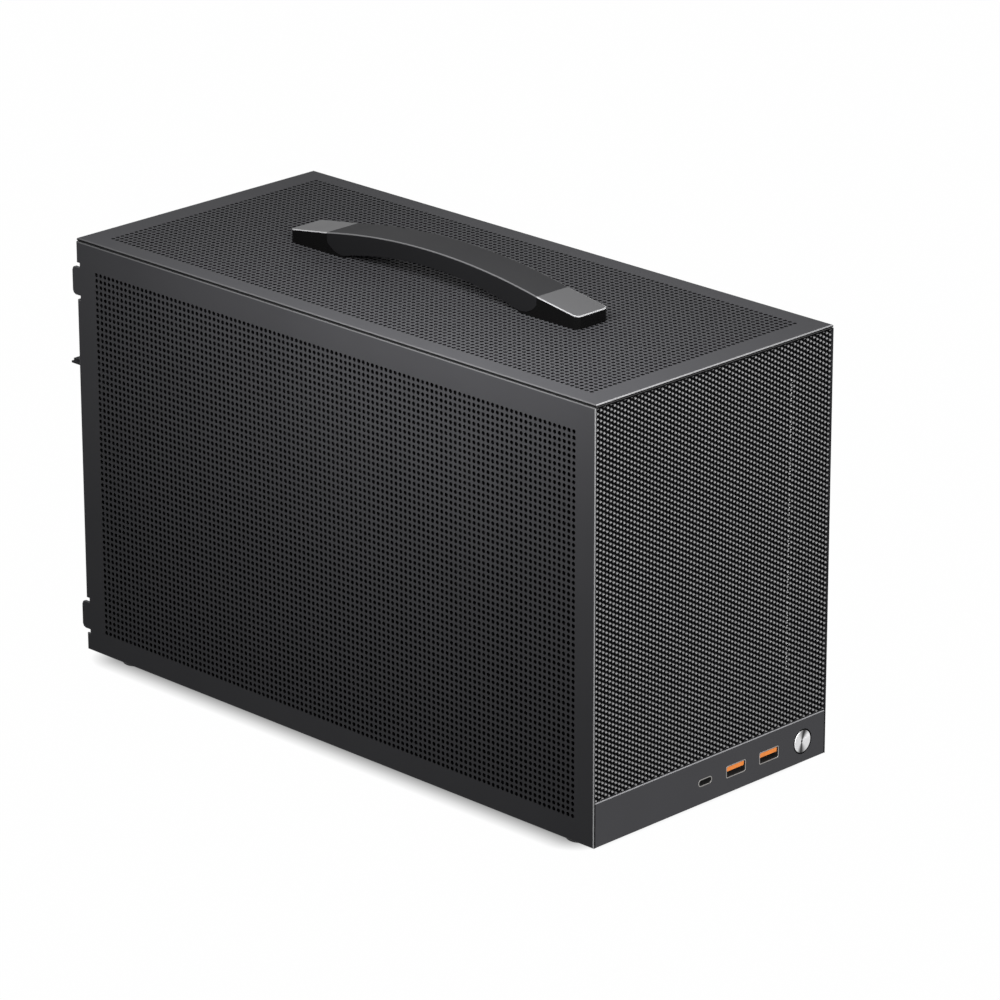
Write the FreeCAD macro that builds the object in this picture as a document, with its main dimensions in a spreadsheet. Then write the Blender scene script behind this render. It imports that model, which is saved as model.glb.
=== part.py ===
import FreeCAD, Part
import math
import os
from types import SimpleNamespace

import Sketcher

# Mini-ITX PC case of folded steel with perforated sides and top, a woven-look front and a carrying handle.
# Frame: X to the right seen from the front, Y to the rear, Z up; the origin is under the middle of the case.

DRIVING_SIZES = {
    # Overall body
    "case_width": 158.0,
    "case_depth": 347.0,
    "case_height": 213.0,
    "foot_height": 5.0,
    # Folded steel and the gaps between neighbouring pieces
    "sheet": 1.0,
    "panel_gap": 0.5,
    "seam": 0.6,
    "fit_gap": 0.1,
    "bend_radius": 1.0,
    "floor_rise": 1.0,
    "pan_depth": 13.0,
    "wall_flange": 12.0,
    "rear_recess": 1.5,
    # Side panels
    "panel_lip": 3.5,
    "panel_bend_radius": 0.9,
    "ear_reach": 3.5,
    "ear_height": 15.0,
    "ear_inset": 10.5,
    "ear_notch": 2.0,
    "grille_margin_front": 12.5,
    "grille_margin_rear": 11.0,
    "grille_margin_top": 13.5,
    "grille_margin_bottom": 11.0,
    "grille_columns": 10,
    "grille_rows": 6,
    "grille_window": 20.0,
    "stud_inset": 30.0,
    "stud_drop": 8.0,
    "stud_rise": 7.6,
    "stud_radius": 2.4,
    "stud_reach": 6.5,
    "socket_clearance": 0.3,
    "socket_radius": 4.4,
    "socket_body_radius": 5.3,
    "socket_length": 8.0,
    # Top cover and the frame below it
    "cover_inset": 0.6,
    "cover_edge_radius": 0.5,
    "cover_margin": 12.0,
    "cover_columns": 4,
    "cover_rows": 10,
    "cover_window": 20.0,
    "frame_border": 14.0,
    "frame_bridge": 40.0,
    # Handle
    "handle_length": 192.0,
    "handle_width": 20.0,
    "cap_length": 26.0,
    "cap_end_height": 6.4,
    "cap_joint_height": 10.3,
    "cap_step_height": 6.0,
    "cap_toe": 12.0,
    "cap_toe_height": 1.2,
    "cap_saddle_rise": 1.8,
    "cap_corner_radius": 2.0,
    "grip_rise": 6.7,
    "grip_clearance_rise": 7.3,
    "grip_edge_chamfer": 1.0,
    "handle_screw_radius": 1.9,
    "handle_screw_length": 6.0,
    "handle_screw_head_radius": 3.5,
    "handle_screw_head": 2.2,
    "handle_screw_pitch": 10.0,
    # Front panel and port strip
    "front_depth": 9.0,
    "front_side_gap": 0.8,
    "strip_height": 22.0,
    "strip_face": 2.5,
    "strip_wall": 1.5,
    "strip_chamfer": 1.4,
    "mesh_margin": 11.0,
    "mesh_columns": 7,
    "mesh_rows": 9,
    "mesh_window": 12.0,
    "mesh_ridge": 1.0,
    "mesh_ridge_crest": 1.6,
    "front_stud_inset": 9.0,
    # Ports and power button
    "port_height": 10.5,
    "usb_c_from_spine": 5.6,
    "usb_a_from_usb_c": 21.0,
    "usb_a_pitch": 22.8,
    "button_from_right": 16.3,
    "port_recess": 1.2,
    "port_depth": 14.0,
    "shell_wall": 0.4,
    "usb_a_width": 13.1,
    "usb_a_height": 5.7,
    "usb_a_bezel": 0.6,
    "usb_a_tongue": 1.8,
    "usb_a_tongue_gap": 0.7,
    "usb_c_width": 8.9,
    "usb_c_height": 3.3,
    "usb_c_bezel": 0.8,
    "usb_c_tongue": 0.7,
    "tongue_setback": 1.5,
    "port_back": 3.0,
    "board_thickness": 1.6,
    "io_board_lip": 0.6,
    "io_board_setback": 4.0,
    "io_board_depth": 30.0,
    "io_post_radius": 2.5,
    "io_post_inset": 5.0,
    "button_radius": 5.85,
    "button_clearance": 0.35,
    "button_flange_radius": 7.2,
    "button_flange": 1.2,
    "button_gap": 0.3,
    "button_travel_room": 1.4,
    "button_dish": 0.5,
    "switch_size": 6.0,
    "switch_depth": 4.0,
    "switch_plunger_radius": 1.7,
    "switch_plunger": 0.8,
    "switch_foot": 9.0,
    "switch_bracket_width": 12.0,
    # Front wall vents
    "front_vent_width": 8.0,
    "front_vent_pitch": 13.5,
    "front_vent_count": 10,
    "front_vent_margin": 20.0,
    # Spine, motherboard seat and power supply bracket
    "spine_offset": 11.0,
    "spine_flange": 12.0,
    "board_size": 170.0,
    "board_rise": 12.0,
    "board_gap": 1.2,
    "standoff_height": 6.5,
    "standoff_radius": 2.8,
    "standoff_bore_radius": 1.25,
    "hole_row_top": 6.35,
    "hole_row_pitch": 157.48,
    "hole_far": 165.1,
    "hole_near_top": 10.16,
    "hole_near_bottom": 33.02,
    "aperture_width": 44.45,
    "aperture_height": 158.75,
    "aperture_drop": 2.2,
    "aperture_rise": 5.6,
    "cpu_window": 90.0,
    "cpu_window_setback": 40.0,
    "cpu_window_rise": 50.0,
    "riser_slot_length": 92.0,
    "riser_slot_height": 8.0,
    "riser_slot_gap": 3.0,
    "cable_slot_width": 14.0,
    "cable_slot_setback": 192.0,
    "cable_slot_margin": 30.0,
    "psu_setback": 38.0,
    "psu_width": 63.5,
    "psu_height": 125.0,
    "psu_side_gap": 4.0,
    "psu_border": 10.0,
    "psu_hole_pitch_x": 51.5,
    "psu_hole_pitch_z": 113.0,
    "psu_hole_radius": 1.8,
    "psu_window_x": 36.0,
    "psu_window_z": 98.0,
    "psu_flange": 18.0,
    # Expansion slots at the rear
    "ledge_inset": 4.5,
    "ledge_level": 147.0,
    "ledge_reach": 11.0,
    "ledge_leg": 10.0,
    "slot_count": 3,
    "slot_pitch": 20.32,
    "slot_cover_width": 18.42,
    "slot_cover_height": 119.0,
    "slot_window_width": 14.0,
    "slot_window_lap": 8.0,
    "slot_side_gap": 0.5,
    "slot_tip_cut": 4.0,
    "slot_screw_radius": 1.5,
    "slot_screw_hole_radius": 1.75,
    "slot_screw_head_radius": 3.2,
    "slot_screw_head": 2.4,
    "slot_screw_length": 5.0,
    # Rear vents and power inlet
    "rear_vent_width": 4.0,
    "rear_vent_pitch": 8.0,
    "rear_vent_count": 7,
    "rear_vent_gap": 10.0,
    "rear_vent_height": 36.0,
    "inlet_from_right": 44.0,
    "inlet_drop": 15.0,
    "inlet_body_width": 27.4,
    "inlet_body_height": 20.0,
    "inlet_body_depth": 22.0,
    "inlet_flange_width": 50.0,
    "inlet_flange_height": 22.6,
    "inlet_flange": 3.0,
    "inlet_socket_width": 24.0,
    "inlet_socket_height": 17.0,
    "inlet_socket_depth": 17.0,
    "inlet_pin_width": 2.0,
    "inlet_pin_height": 4.0,
    "inlet_pin_length": 15.0,
    "inlet_pin_pitch": 7.0,
    "inlet_hole_pitch": 40.0,
    "inlet_screw_radius": 1.6,
    "inlet_screw_head_radius": 3.2,
    "inlet_screw_head": 1.6,
    "inlet_screw_grip": 4.0,
    # Bottom vents and feet
    "floor_vent_length": 34.0,
    "floor_vent_width": 5.0,
    "floor_vent_columns": 3,
    "floor_vent_rows": 7,
    "floor_vent_pitch": 26.0,
    "foot_radius": 8.0,
    "foot_inset_side": 14.0,
    "foot_inset_end": 21.0,
}

TOUCH = 1e-4
EIGHT_SIDES = 8
SIX_SIDES = 6
EIGHT_FLAT = math.tan(math.pi / EIGHT_SIDES)
SKETCH_NORMAL = {"XY": 1, "XZ": -1, "YZ": 1}
AXIS_TURN = {
    "X": FreeCAD.Rotation(FreeCAD.Vector(0, 1, 0), 90),
    "-X": FreeCAD.Rotation(FreeCAD.Vector(0, 1, 0), -90),
    "Y": FreeCAD.Rotation(FreeCAD.Vector(1, 0, 0), -90),
    "-Y": FreeCAD.Rotation(FreeCAD.Vector(1, 0, 0), 90),
    "Z": FreeCAD.Rotation(),
    "-Z": FreeCAD.Rotation(FreeCAD.Vector(1, 0, 0), 180),
}


class Term:
    """A size known both as a number and as the sheet expression that drives it."""

    def __init__(self, value, text):
        self.value = float(value)
        self.text = text

    def __add__(self, other):
        other = as_term(other)
        return Term(self.value + other.value, f"({self.text} + {other.text})")

    def __sub__(self, other):
        other = as_term(other)
        return Term(self.value - other.value, f"({self.text} - {other.text})")

    def __mul__(self, other):
        other = as_term(other)
        return Term(self.value * other.value, f"({self.text} * {other.text})")

    def __truediv__(self, other):
        other = as_term(other)
        return Term(self.value / other.value, f"({self.text} / {other.text})")

    def __neg__(self):
        return Term(-self.value, f"(0 - {self.text})")


def as_term(value):
    """Turn a bare number into a Term."""
    if isinstance(value, Term):
        return value
    return Term(value, f"({float(value)!r})")


doc = FreeCAD.newDocument("mini_itx_case")
sheet = doc.addObject("Spreadsheet::Sheet", "sizes")
for row, (name, value) in enumerate(DRIVING_SIZES.items(), start=1):
    sheet.set(f"A{row}", name)
    sheet.set(f"B{row}", str(value))
    sheet.setAlias(f"B{row}", name)
doc.recompute()
s = SimpleNamespace(**{name: Term(value, f"sizes.{name}") for name, value in DRIVING_SIZES.items()})
sub_parts = []


# Levels and planes that the pieces share
ZERO = as_term(0)
HALF = s.case_width / 2
FRONT = -(s.case_depth + s.ledge_reach) / 2
REAR = FRONT + s.case_depth
BASE = s.foot_height
TOP = BASE + s.case_height
CHASSIS = HALF - s.sheet - s.panel_gap
PAN_UNDER = BASE + s.floor_rise
FLOOR = PAN_UNDER + s.sheet
FRAME_TOP = TOP - s.sheet
FRAME_UNDER = FRAME_TOP - s.sheet
PANEL_TOP = FRAME_TOP - s.seam
FRONT_WALL = FRONT + s.front_depth
INNER_FRONT = FRONT_WALL + s.sheet
REAR_WALL = REAR - s.rear_recess
INNER_REAR = REAR_WALL - s.sheet
FLANGE_LOW = PAN_UNDER + s.pan_depth + s.seam
FLANGE_HIGH = FRAME_TOP - s.pan_depth - s.seam
HANDLE_MID = FRONT + s.case_depth / 2
PORT_Z = BASE + s.port_height
STRIP_HALF = HALF - s.sheet - s.front_side_gap
STRIP_TOP = BASE + s.strip_height
STRIP_BACK = FRONT + s.strip_face
SPINE_LEFT = -s.spine_offset
SPINE_RIGHT = SPINE_LEFT + s.sheet
BOARD_LOW = FLOOR + s.board_rise
BOARD_TOP = BOARD_LOW + s.board_size
BOARD_REAR = INNER_REAR - s.board_gap
LEDGE = BASE + s.ledge_level
LEDGE_LEFT = -HALF + s.ledge_inset
LEDGE_END = REAR + s.ledge_reach
SLOT_FIRST = LEDGE_LEFT + s.slot_side_gap + s.slot_pitch / 2
LEDGE_RIGHT = LEDGE_LEFT + s.slot_side_gap * 2 + s.slot_pitch * s.slot_count
STUD_HIGH = TOP - s.stud_drop
STUD_LOW = BASE + s.stud_rise
STUD_ENDS = (FRONT + s.stud_inset, REAR - s.stud_inset)


def keep(obj, name):
    """Give a finished sub-part its label and put it on the list of pieces."""
    obj.Label = name
    sub_parts.append(obj)
    return obj


def place(obj, spot):
    """Bind an object's position to three terms."""
    for axis, term in zip("xyz", spot):
        obj.setExpression(f"Placement.Base.{axis}", as_term(term).text)


def add_sketch(body, plane, offset, tag):
    """Empty sketch on one of the body's origin planes, moved along the plane's normal."""
    sketch = body.newObject("Sketcher::SketchObject", f"{body.Name}_{tag}_sketch")
    support = next(f for f in body.Origin.OriginFeatures if f.Role == f"{plane}_Plane")
    sketch.AttachmentSupport = [(support, "")]
    sketch.MapMode = "FlatFace"
    sketch.setExpression("AttachmentOffset.Base.z", offset.text)
    return sketch


def hold(sketch, geometry, corner, u, v):
    """Tie one point of a sketch to its two coordinates."""
    for kind, term in (("DistanceX", u), ("DistanceY", v)):
        index = sketch.addConstraint(Sketcher.Constraint(kind, -1, 1, geometry, corner, term.value))
        sketch.setExpression(f"Constraints[{index}]", term.text)


def draw_outline(sketch, points):
    """Closed outline; a third entry in a point is the rise of an arc to the next point, to the left."""
    first = sketch.GeometryCount
    count = len(points)
    ends = []
    for i, point in enumerate(points):
        after = points[(i + 1) % count]
        start = FreeCAD.Vector(point[0].value, point[1].value, 0)
        stop = FreeCAD.Vector(after[0].value, after[1].value, 0)
        if len(point) == 2:
            sketch.addGeometry(Part.LineSegment(start, stop))
            ends.append((1, 2))
        else:
            sketch.addGeometry(arc_between(start, stop, point[2].value))
            ends.append((2, 1) if point[2].value > 0 else (1, 2))
    for i in range(count):
        j = (i + 1) % count
        sketch.addConstraint(Sketcher.Constraint("Coincident", first + i, ends[i][1], first + j, ends[j][0]))
        hold(sketch, first + i, ends[i][0], points[i][0], points[i][1])
    for i, point in enumerate(points):
        if len(point) == 3:
            hold_centre(sketch, first + i, point, points[(i + 1) % count], point[2])


def arc_between(start, stop, rise):
    """Anticlockwise arc over a chord, on its left for a positive rise and on its right for a negative one."""
    chord = stop - start
    left = FreeCAD.Vector(-chord.y, chord.x, 0).normalize()
    centre = (start + stop) * 0.5 + left * (rise / 2 - chord.Length ** 2 / (8 * rise))
    first, last = (stop, start) if rise > 0 else (start, stop)
    angles = [math.atan2(point.y - centre.y, point.x - centre.x) for point in (first, last)]
    circle = Part.Circle(centre, FreeCAD.Vector(0, 0, 1), (start - centre).Length)
    return Part.ArcOfCircle(circle, *angles)


def hold_centre(sketch, geometry, start, stop, rise):
    """Shape an arc between its two held ends by the level of its centre."""
    across = stop[0] - start[0]
    along = stop[1] - start[1]
    square = across * across + along * along
    chord = Term(square.value ** 0.5, f"sqrt({square.text})")
    depth = rise / 2 - square / (rise * 8)
    if abs(across.value) >= abs(along.value):
        kind, level = "DistanceY", (start[1] + stop[1]) / 2 + across * depth / chord
    else:
        kind, level = "DistanceX", (start[0] + stop[0]) / 2 - along * depth / chord
    index = sketch.addConstraint(Sketcher.Constraint(kind, -1, 1, geometry, 3, level.value))
    sketch.setExpression(f"Constraints[{index}]", level.text)


def draw_circle(sketch, u, v, radius):
    """Circle with its centre and radius bound."""
    centre = FreeCAD.Vector(u.value, v.value, 0)
    number = sketch.addGeometry(Part.Circle(centre, FreeCAD.Vector(0, 0, 1), radius.value))
    hold(sketch, number, 3, u, v)
    index = sketch.addConstraint(Sketcher.Constraint("Radius", number, radius.value))
    sketch.setExpression(f"Constraints[{index}]", radius.text)


def rect(u_low, u_high, v_low, v_high):
    """Corner points of a rectangle."""
    return [(u_low, v_low), (u_high, v_low), (u_high, v_high), (u_low, v_high)]


def ring(u, v, radius):
    """Eight-sided outline that a round of this radius just passes through."""
    flat = radius * EIGHT_FLAT
    return [
        (u - flat, v - radius), (u + flat, v - radius), (u + radius, v - flat), (u + radius, v + flat),
        (u + flat, v + radius), (u - flat, v + radius), (u - radius, v + flat), (u - radius, v - flat),
    ]


def round_slot(u, v, width, height):
    """Outline of a flat slot with half-round ends, centred on u and v."""
    reach = (width - height) / 2
    half = height / 2
    return [
        (u - reach, v - half),
        (u + reach, v - half, -half),
        (u + reach, v + half),
        (u - reach, v + half, -half),
    ]


def extrude(body, kind, plane, low, high, outlines, circles=(), tag="form"):
    """Pad or pocket between two levels along the plane's axis."""
    forward = SKETCH_NORMAL[plane] > 0
    from_low = forward if kind == "Pad" else not forward
    level = low if from_low else high
    sketch = add_sketch(body, plane, level if forward else -level, tag)
    for points in outlines:
        draw_outline(sketch, points)
    for circle in circles:
        draw_circle(sketch, *circle)
    feature = body.newObject(f"PartDesign::{kind}", f"{body.Name}_{tag}")
    feature.Profile = sketch
    feature.setExpression("Length", (high - low).text)
    return feature


def new_body(name):
    """Empty PartDesign body."""
    return doc.addObject("PartDesign::Body", name)


def pattern(body, feature, across, pitch_across, along=None, pitch_along=None):
    """Repeat a feature along its sketch's two axes."""
    sketch = feature.Profile[0]
    rows = body.newObject("PartDesign::LinearPattern", f"{feature.Name}_pattern")
    rows.Originals = [feature]
    rows.Direction = (sketch, ["H_Axis"])
    rows.Mode = "Spacing"
    rows.setExpression("Offset", pitch_across.text)
    rows.setExpression("Occurrences", across.text)
    if along is not None:
        rows.Direction2 = (sketch, ["V_Axis"])
        rows.Mode2 = "Spacing"
        rows.Spacings2 = [-1.0]
        rows.setExpression("Offset2", pitch_along.text)
        rows.setExpression("Occurrences2", along.text)
    body.Tip = rows


def dress(body, kind, size, chosen, tag):
    """Fillet or chamfer on the edges that the test picks from the body's tip."""
    doc.recompute()
    base = body.Tip
    names = [f"Edge{i}" for i, edge in enumerate(base.Shape.Edges, start=1) if chosen(edge)]
    feature = body.newObject(f"PartDesign::{kind}", f"{body.Name}_{tag}")
    feature.Base = (base, names)
    feature.setExpression("Radius" if kind == "Fillet" else "Size", size.text)
    return feature


def runs_along(edge, axis):
    """True for a straight edge along one axis."""
    size = edge.BoundBox
    spans = {"X": size.XLength, "Y": size.YLength, "Z": size.ZLength}
    others = [spans[key] for key in spans if key != axis]
    return spans[axis] > TOUCH and max(others) < TOUCH


def near(a, term):
    """True where a coordinate lies on a level."""
    return abs(a - term.value) < TOUCH


def turned(name, plane, outline, spot):
    """Body turned about its sketch's vertical axis and set down at a spot."""
    body = new_body(name)
    sketch = add_sketch(body, plane, ZERO, "profile")
    draw_outline(sketch, outline)
    revolution = body.newObject("PartDesign::Revolution", f"{name}_turn")
    revolution.Profile = sketch
    revolution.ReferenceAxis = (sketch, ["V_Axis"])
    revolution.Angle = 360
    place(body, spot)
    return keep(body, name)


def cylinder(name, spot, axis, radius, length):
    """Part cylinder that starts at a spot and runs along an axis."""
    obj = doc.addObject("Part::Cylinder", name)
    obj.Placement = FreeCAD.Placement(FreeCAD.Vector(), AXIS_TURN[axis])
    obj.setExpression("Radius", radius.text)
    obj.setExpression("Height", length.text)
    place(obj, spot)
    return obj


def prism(name, spot, axis, radius, length, sides=EIGHT_SIDES):
    """Flat-sided rod within a radius that starts at a spot and runs along an axis."""
    obj = doc.addObject("Part::Prism", name)
    obj.Placement = FreeCAD.Placement(FreeCAD.Vector(), AXIS_TURN[axis])
    obj.Polygon = sides
    obj.setExpression("Circumradius", radius.text)
    obj.setExpression("Height", length.text)
    place(obj, spot)
    return obj


def box(name, low, high):
    """Part box between two corners."""
    obj = doc.addObject("Part::Box", name)
    for prop, a, b in zip(("Length", "Width", "Height"), low, high):
        obj.setExpression(prop, (b - a).text)
    place(obj, low)
    return obj


def cut(name, base, tool):
    """Base solid less a tool."""
    obj = doc.addObject("Part::Cut", name)
    obj.Base = base
    obj.Tool = tool
    return obj


def fuse(name, pieces):
    """One solid of several."""
    obj = doc.addObject("Part::MultiFuse", name)
    obj.Shapes = pieces
    return obj


def group(name, pieces):
    """One node that holds several like solids."""
    obj = doc.addObject("Part::Compound", name)
    obj.Links = pieces
    return keep(obj, name)


def screw(name, seat, axes, head_radius, head, radius, length):
    """Hexagon head on one side of a seat and a shank on the other."""
    cap = prism(f"{name}_head", seat, axes[0], head_radius, head, SIX_SIDES)
    shank = prism(f"{name}_shank", seat, axes[1], radius, length)
    return fuse(name, [cap, shank])


def shift(spot, axis, amount):
    """Spot moved along a signed axis."""
    index = "XYZ".index(axis[-1])
    moved = list(spot)
    moved[index] = moved[index] - amount if axis.startswith("-") else moved[index] + amount
    return tuple(moved)


# Chassis

def build_bottom_pan():
    """Folded floor with upturned sides and vent slots."""
    body = new_body("bottom_pan")
    high = PAN_UNDER + s.pan_depth
    inside = CHASSIS - s.sheet
    section = [
        (-CHASSIS, PAN_UNDER), (CHASSIS, PAN_UNDER), (CHASSIS, high), (inside, high),
        (inside, FLOOR), (-inside, FLOOR), (-inside, high), (-CHASSIS, high),
    ]
    extrude(body, "Pad", "XZ", INNER_FRONT, INNER_REAR, [section])
    dress(body, "Fillet", s.bend_radius,
          lambda e: runs_along(e, "Y") and near(e.BoundBox.ZMin, PAN_UNDER), "bend")
    pitch_x = s.floor_vent_length + s.floor_vent_width * 2
    span_y = s.floor_vent_pitch * (s.floor_vent_rows - 1) + s.floor_vent_width
    left = -(pitch_x * (s.floor_vent_columns - 1) + s.floor_vent_length) / 2
    low = HANDLE_MID - span_y / 2
    vent = rect(left, left + s.floor_vent_length, low, low + s.floor_vent_width)
    vents = extrude(body, "Pocket", "XY", PAN_UNDER, FLOOR, [vent], tag="vent")
    pattern(body, vents, s.floor_vent_columns, pitch_x, s.floor_vent_rows, s.floor_vent_pitch)
    for side, axis in ((-1, "left"), (1, "right")):
        socket_holes(body, side, STUD_LOW, axis)
    keep(body, "bottom_pan")


def socket_holes(body, side, level, tag):
    """Two holes for panel sockets in one folded side of a pan."""
    faces = (CHASSIS * side, (CHASSIS - s.sheet) * side)
    low, high = sorted(faces, key=lambda term: term.value)
    radius = s.socket_radius + s.fit_gap
    holes = [ring(y, level, radius) for y in STUD_ENDS]
    extrude(body, "Pocket", "YZ", low, high, holes, tag=f"socket_{tag}")


def build_top_frame():
    """Folded roof of the chassis with three windows under the grille and holes for the handle screws."""
    body = new_body("top_frame")
    low = FRAME_TOP - s.pan_depth
    inside = CHASSIS - s.sheet
    section = [
        (-CHASSIS, low), (-inside, low), (-inside, FRAME_UNDER), (inside, FRAME_UNDER),
        (inside, low), (CHASSIS, low), (CHASSIS, FRAME_TOP), (-CHASSIS, FRAME_TOP),
    ]
    extrude(body, "Pad", "XZ", INNER_FRONT, INNER_REAR, [section])
    dress(body, "Fillet", s.bend_radius,
          lambda e: runs_along(e, "Y") and near(e.BoundBox.ZMax, FRAME_TOP), "bend")
    half = CHASSIS - s.frame_border
    windows = [rect(-half, half, *span) for span in frame_windows()]
    holes = [ring(ZERO, y, s.handle_screw_radius + s.fit_gap) for y in handle_screw_spots()]
    extrude(body, "Pocket", "XY", FRAME_UNDER, FRAME_TOP, windows + holes, tag="windows")
    for side, axis in ((-1, "left"), (1, "right")):
        socket_holes(body, side, STUD_HIGH, axis)
    keep(body, "top_frame")


def frame_windows():
    """Front and rear limits of the three roof windows, which leave a bridge under each handle cap."""
    cap = (s.handle_length - s.cap_length) / 2
    inner = cap - s.frame_bridge / 2
    outer = cap + s.frame_bridge / 2
    return [
        (INNER_FRONT + s.frame_border, HANDLE_MID - outer),
        (HANDLE_MID - inner, HANDLE_MID + inner),
        (HANDLE_MID + outer, INNER_REAR - s.frame_border),
    ]


def handle_screw_spots():
    """Y of the four screws that hold the handle caps."""
    cap = (s.handle_length - s.cap_length) / 2
    half = s.handle_screw_pitch / 2
    return [HANDLE_MID - cap - half, HANDLE_MID - cap + half, HANDLE_MID + cap - half, HANDLE_MID + cap + half]


def wall_flanges(body, low, high):
    """Folded sides of an end wall, between the pan below and the frame above."""
    inside = CHASSIS - s.sheet
    left = rect(-CHASSIS, -inside, FLANGE_LOW, FLANGE_HIGH)
    right = rect(inside, CHASSIS, FLANGE_LOW, FLANGE_HIGH)
    extrude(body, "Pad", "XZ", low, high, [left, right], tag="flange")


def build_front_wall():
    """Front of the chassis with vent slots, a window for the ports and holes for the front panel's sockets."""
    body = new_body("front_wall")
    extrude(body, "Pad", "XZ", FRONT_WALL, INNER_FRONT, [rect(-CHASSIS, CHASSIS, PAN_UNDER, FRAME_TOP)])
    wall_flanges(body, FRONT_WALL, INNER_FRONT + s.wall_flange)
    window_left = io_board_sides()[0] - s.seam
    window_right = CHASSIS - s.sheet * 2
    window = rect(window_left, window_right, FLOOR + s.sheet, STRIP_TOP)
    sockets = [ring(x, z, s.socket_radius + s.fit_gap) for x, z in front_socket_spots()]
    extrude(body, "Pocket", "XZ", FRONT_WALL, INNER_FRONT, [window] + sockets, tag="ports")
    left = -(s.front_vent_pitch * (s.front_vent_count - 1) + s.front_vent_width) / 2
    low = STRIP_TOP + s.front_vent_margin
    high = FRAME_TOP - s.front_vent_margin
    vent = rect(left, left + s.front_vent_width, low, high)
    vents = extrude(body, "Pocket", "XZ", FRONT_WALL, INNER_FRONT, [vent], tag="vent")
    pattern(body, vents, s.front_vent_count, s.front_vent_pitch)
    keep(body, "front_wall")


def front_socket_spots():
    """X and Z of the four sockets that hold the front panel."""
    side = HALF - s.front_stud_inset
    low = STRIP_TOP + s.front_stud_inset
    high = PANEL_TOP - s.front_stud_inset
    return [(-side, low), (side, low), (-side, high), (side, high)]


def slot_centre(number):
    """X of an expansion slot, counted from the left."""
    return SLOT_FIRST + s.slot_pitch * number


def build_rear_wall():
    """Rear of the chassis with the board's port aperture, slot windows, a vent field and the inlet hole."""
    body = new_body("rear_wall")
    extrude(body, "Pad", "XZ", INNER_REAR, REAR_WALL, [rect(-CHASSIS, CHASSIS, PAN_UNDER, FRAME_TOP)])
    wall_flanges(body, INNER_REAR - s.wall_flange, REAR_WALL)
    aperture_low = SPINE_RIGHT + s.standoff_height + s.board_thickness - s.aperture_drop
    aperture = rect(aperture_low, aperture_low + s.aperture_width,
                    BOARD_LOW + s.aperture_rise, BOARD_LOW + s.aperture_rise + s.aperture_height)
    inlet_x = HALF - s.inlet_from_right
    inlet_z = FRAME_UNDER - s.inlet_drop
    half_x = s.inlet_body_width / 2 + s.fit_gap
    half_z = s.inlet_body_height / 2 + s.fit_gap
    inlet = rect(inlet_x - half_x, inlet_x + half_x, inlet_z - half_z, inlet_z + half_z)
    screws = [ring(inlet_x + s.inlet_hole_pitch / 2 * side, inlet_z, s.inlet_screw_radius + s.fit_gap)
              for side in (-1, 1)]
    extrude(body, "Pocket", "XZ", INNER_REAR, REAR_WALL, [aperture, inlet] + screws, tag="apertures")
    low = LEDGE - s.slot_cover_height + s.slot_window_lap
    half = s.slot_window_width / 2
    window = rect(SLOT_FIRST - half, SLOT_FIRST + half, low, LEDGE + s.sheet / 2)
    windows = extrude(body, "Pocket", "XZ", INNER_REAR, REAR_WALL, [window], tag="slot")
    pattern(body, windows, s.slot_count, s.slot_pitch)
    reach = s.slot_cover_width / 2 + s.seam
    last = SLOT_FIRST + s.slot_pitch * (s.slot_count - 1)
    notch = rect(SLOT_FIRST - reach, last + reach, LEDGE, LEDGE + s.sheet + s.seam)
    extrude(body, "Pocket", "XZ", INNER_REAR, REAR_WALL, [notch], tag="notch")
    left = SLOT_FIRST - s.slot_cover_width / 2
    vent_low = LEDGE + s.sheet + s.rear_vent_gap
    vent = rect(left, left + s.rear_vent_width, vent_low, vent_low + s.rear_vent_height)
    vents = extrude(body, "Pocket", "XZ", INNER_REAR, REAR_WALL, [vent], tag="vent")
    pattern(body, vents, s.rear_vent_count, s.rear_vent_pitch)
    keep(body, "rear_wall")


def build_spine():
    """Folded wall between the two bays, with the processor window, riser slot and cable slot."""
    body = new_body("spine")
    outer = SPINE_LEFT - s.spine_flange
    section = [
        (outer, FLOOR), (SPINE_RIGHT, FLOOR), (SPINE_RIGHT, FRAME_UNDER), (outer, FRAME_UNDER),
        (outer, FRAME_UNDER - s.sheet), (SPINE_LEFT, FRAME_UNDER - s.sheet),
        (SPINE_LEFT, FLOOR + s.sheet), (outer, FLOOR + s.sheet),
    ]
    extrude(body, "Pad", "XZ", INNER_FRONT, INNER_REAR, [section])
    rear = BOARD_REAR - s.cpu_window_setback
    low = BOARD_LOW + s.cpu_window_rise
    processor = rect(rear - s.cpu_window, rear, low, low + s.cpu_window)
    slot_low = FLOOR + s.riser_slot_gap
    riser = rect(BOARD_REAR - s.riser_slot_length - s.riser_slot_gap, BOARD_REAR - s.riser_slot_gap,
                 slot_low, slot_low + s.riser_slot_height)
    cable_mid = BOARD_REAR - s.cable_slot_setback
    cable = rect(cable_mid - s.cable_slot_width / 2, cable_mid + s.cable_slot_width / 2,
                 FLOOR + s.cable_slot_margin, FRAME_UNDER - s.cable_slot_margin)
    extrude(body, "Pocket", "YZ", SPINE_LEFT, SPINE_RIGHT, [processor, riser, cable], tag="windows")
    keep(body, "spine")


def build_standoffs():
    """Four threaded brass standoffs in the mini-ITX pattern."""
    top = BOARD_TOP - s.hole_row_top
    bottom = top - s.hole_row_pitch
    holes = [
        (BOARD_REAR - s.hole_near_top, top), (BOARD_REAR - s.hole_far, top),
        (BOARD_REAR - s.hole_near_bottom, bottom), (BOARD_REAR - s.hole_far, bottom),
    ]
    pieces = []
    for number, (y, z) in enumerate(holes, start=1):
        spot = (SPINE_RIGHT, y, z)
        post = prism(f"standoff_{number}_post", spot, "X", s.standoff_radius, s.standoff_height, SIX_SIDES)
        bore = cylinder(f"standoff_{number}_bore", spot, "X", s.standoff_bore_radius, s.standoff_height)
        pieces.append(cut(f"standoff_{number}", post, bore))
    group("standoffs", pieces)


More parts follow.
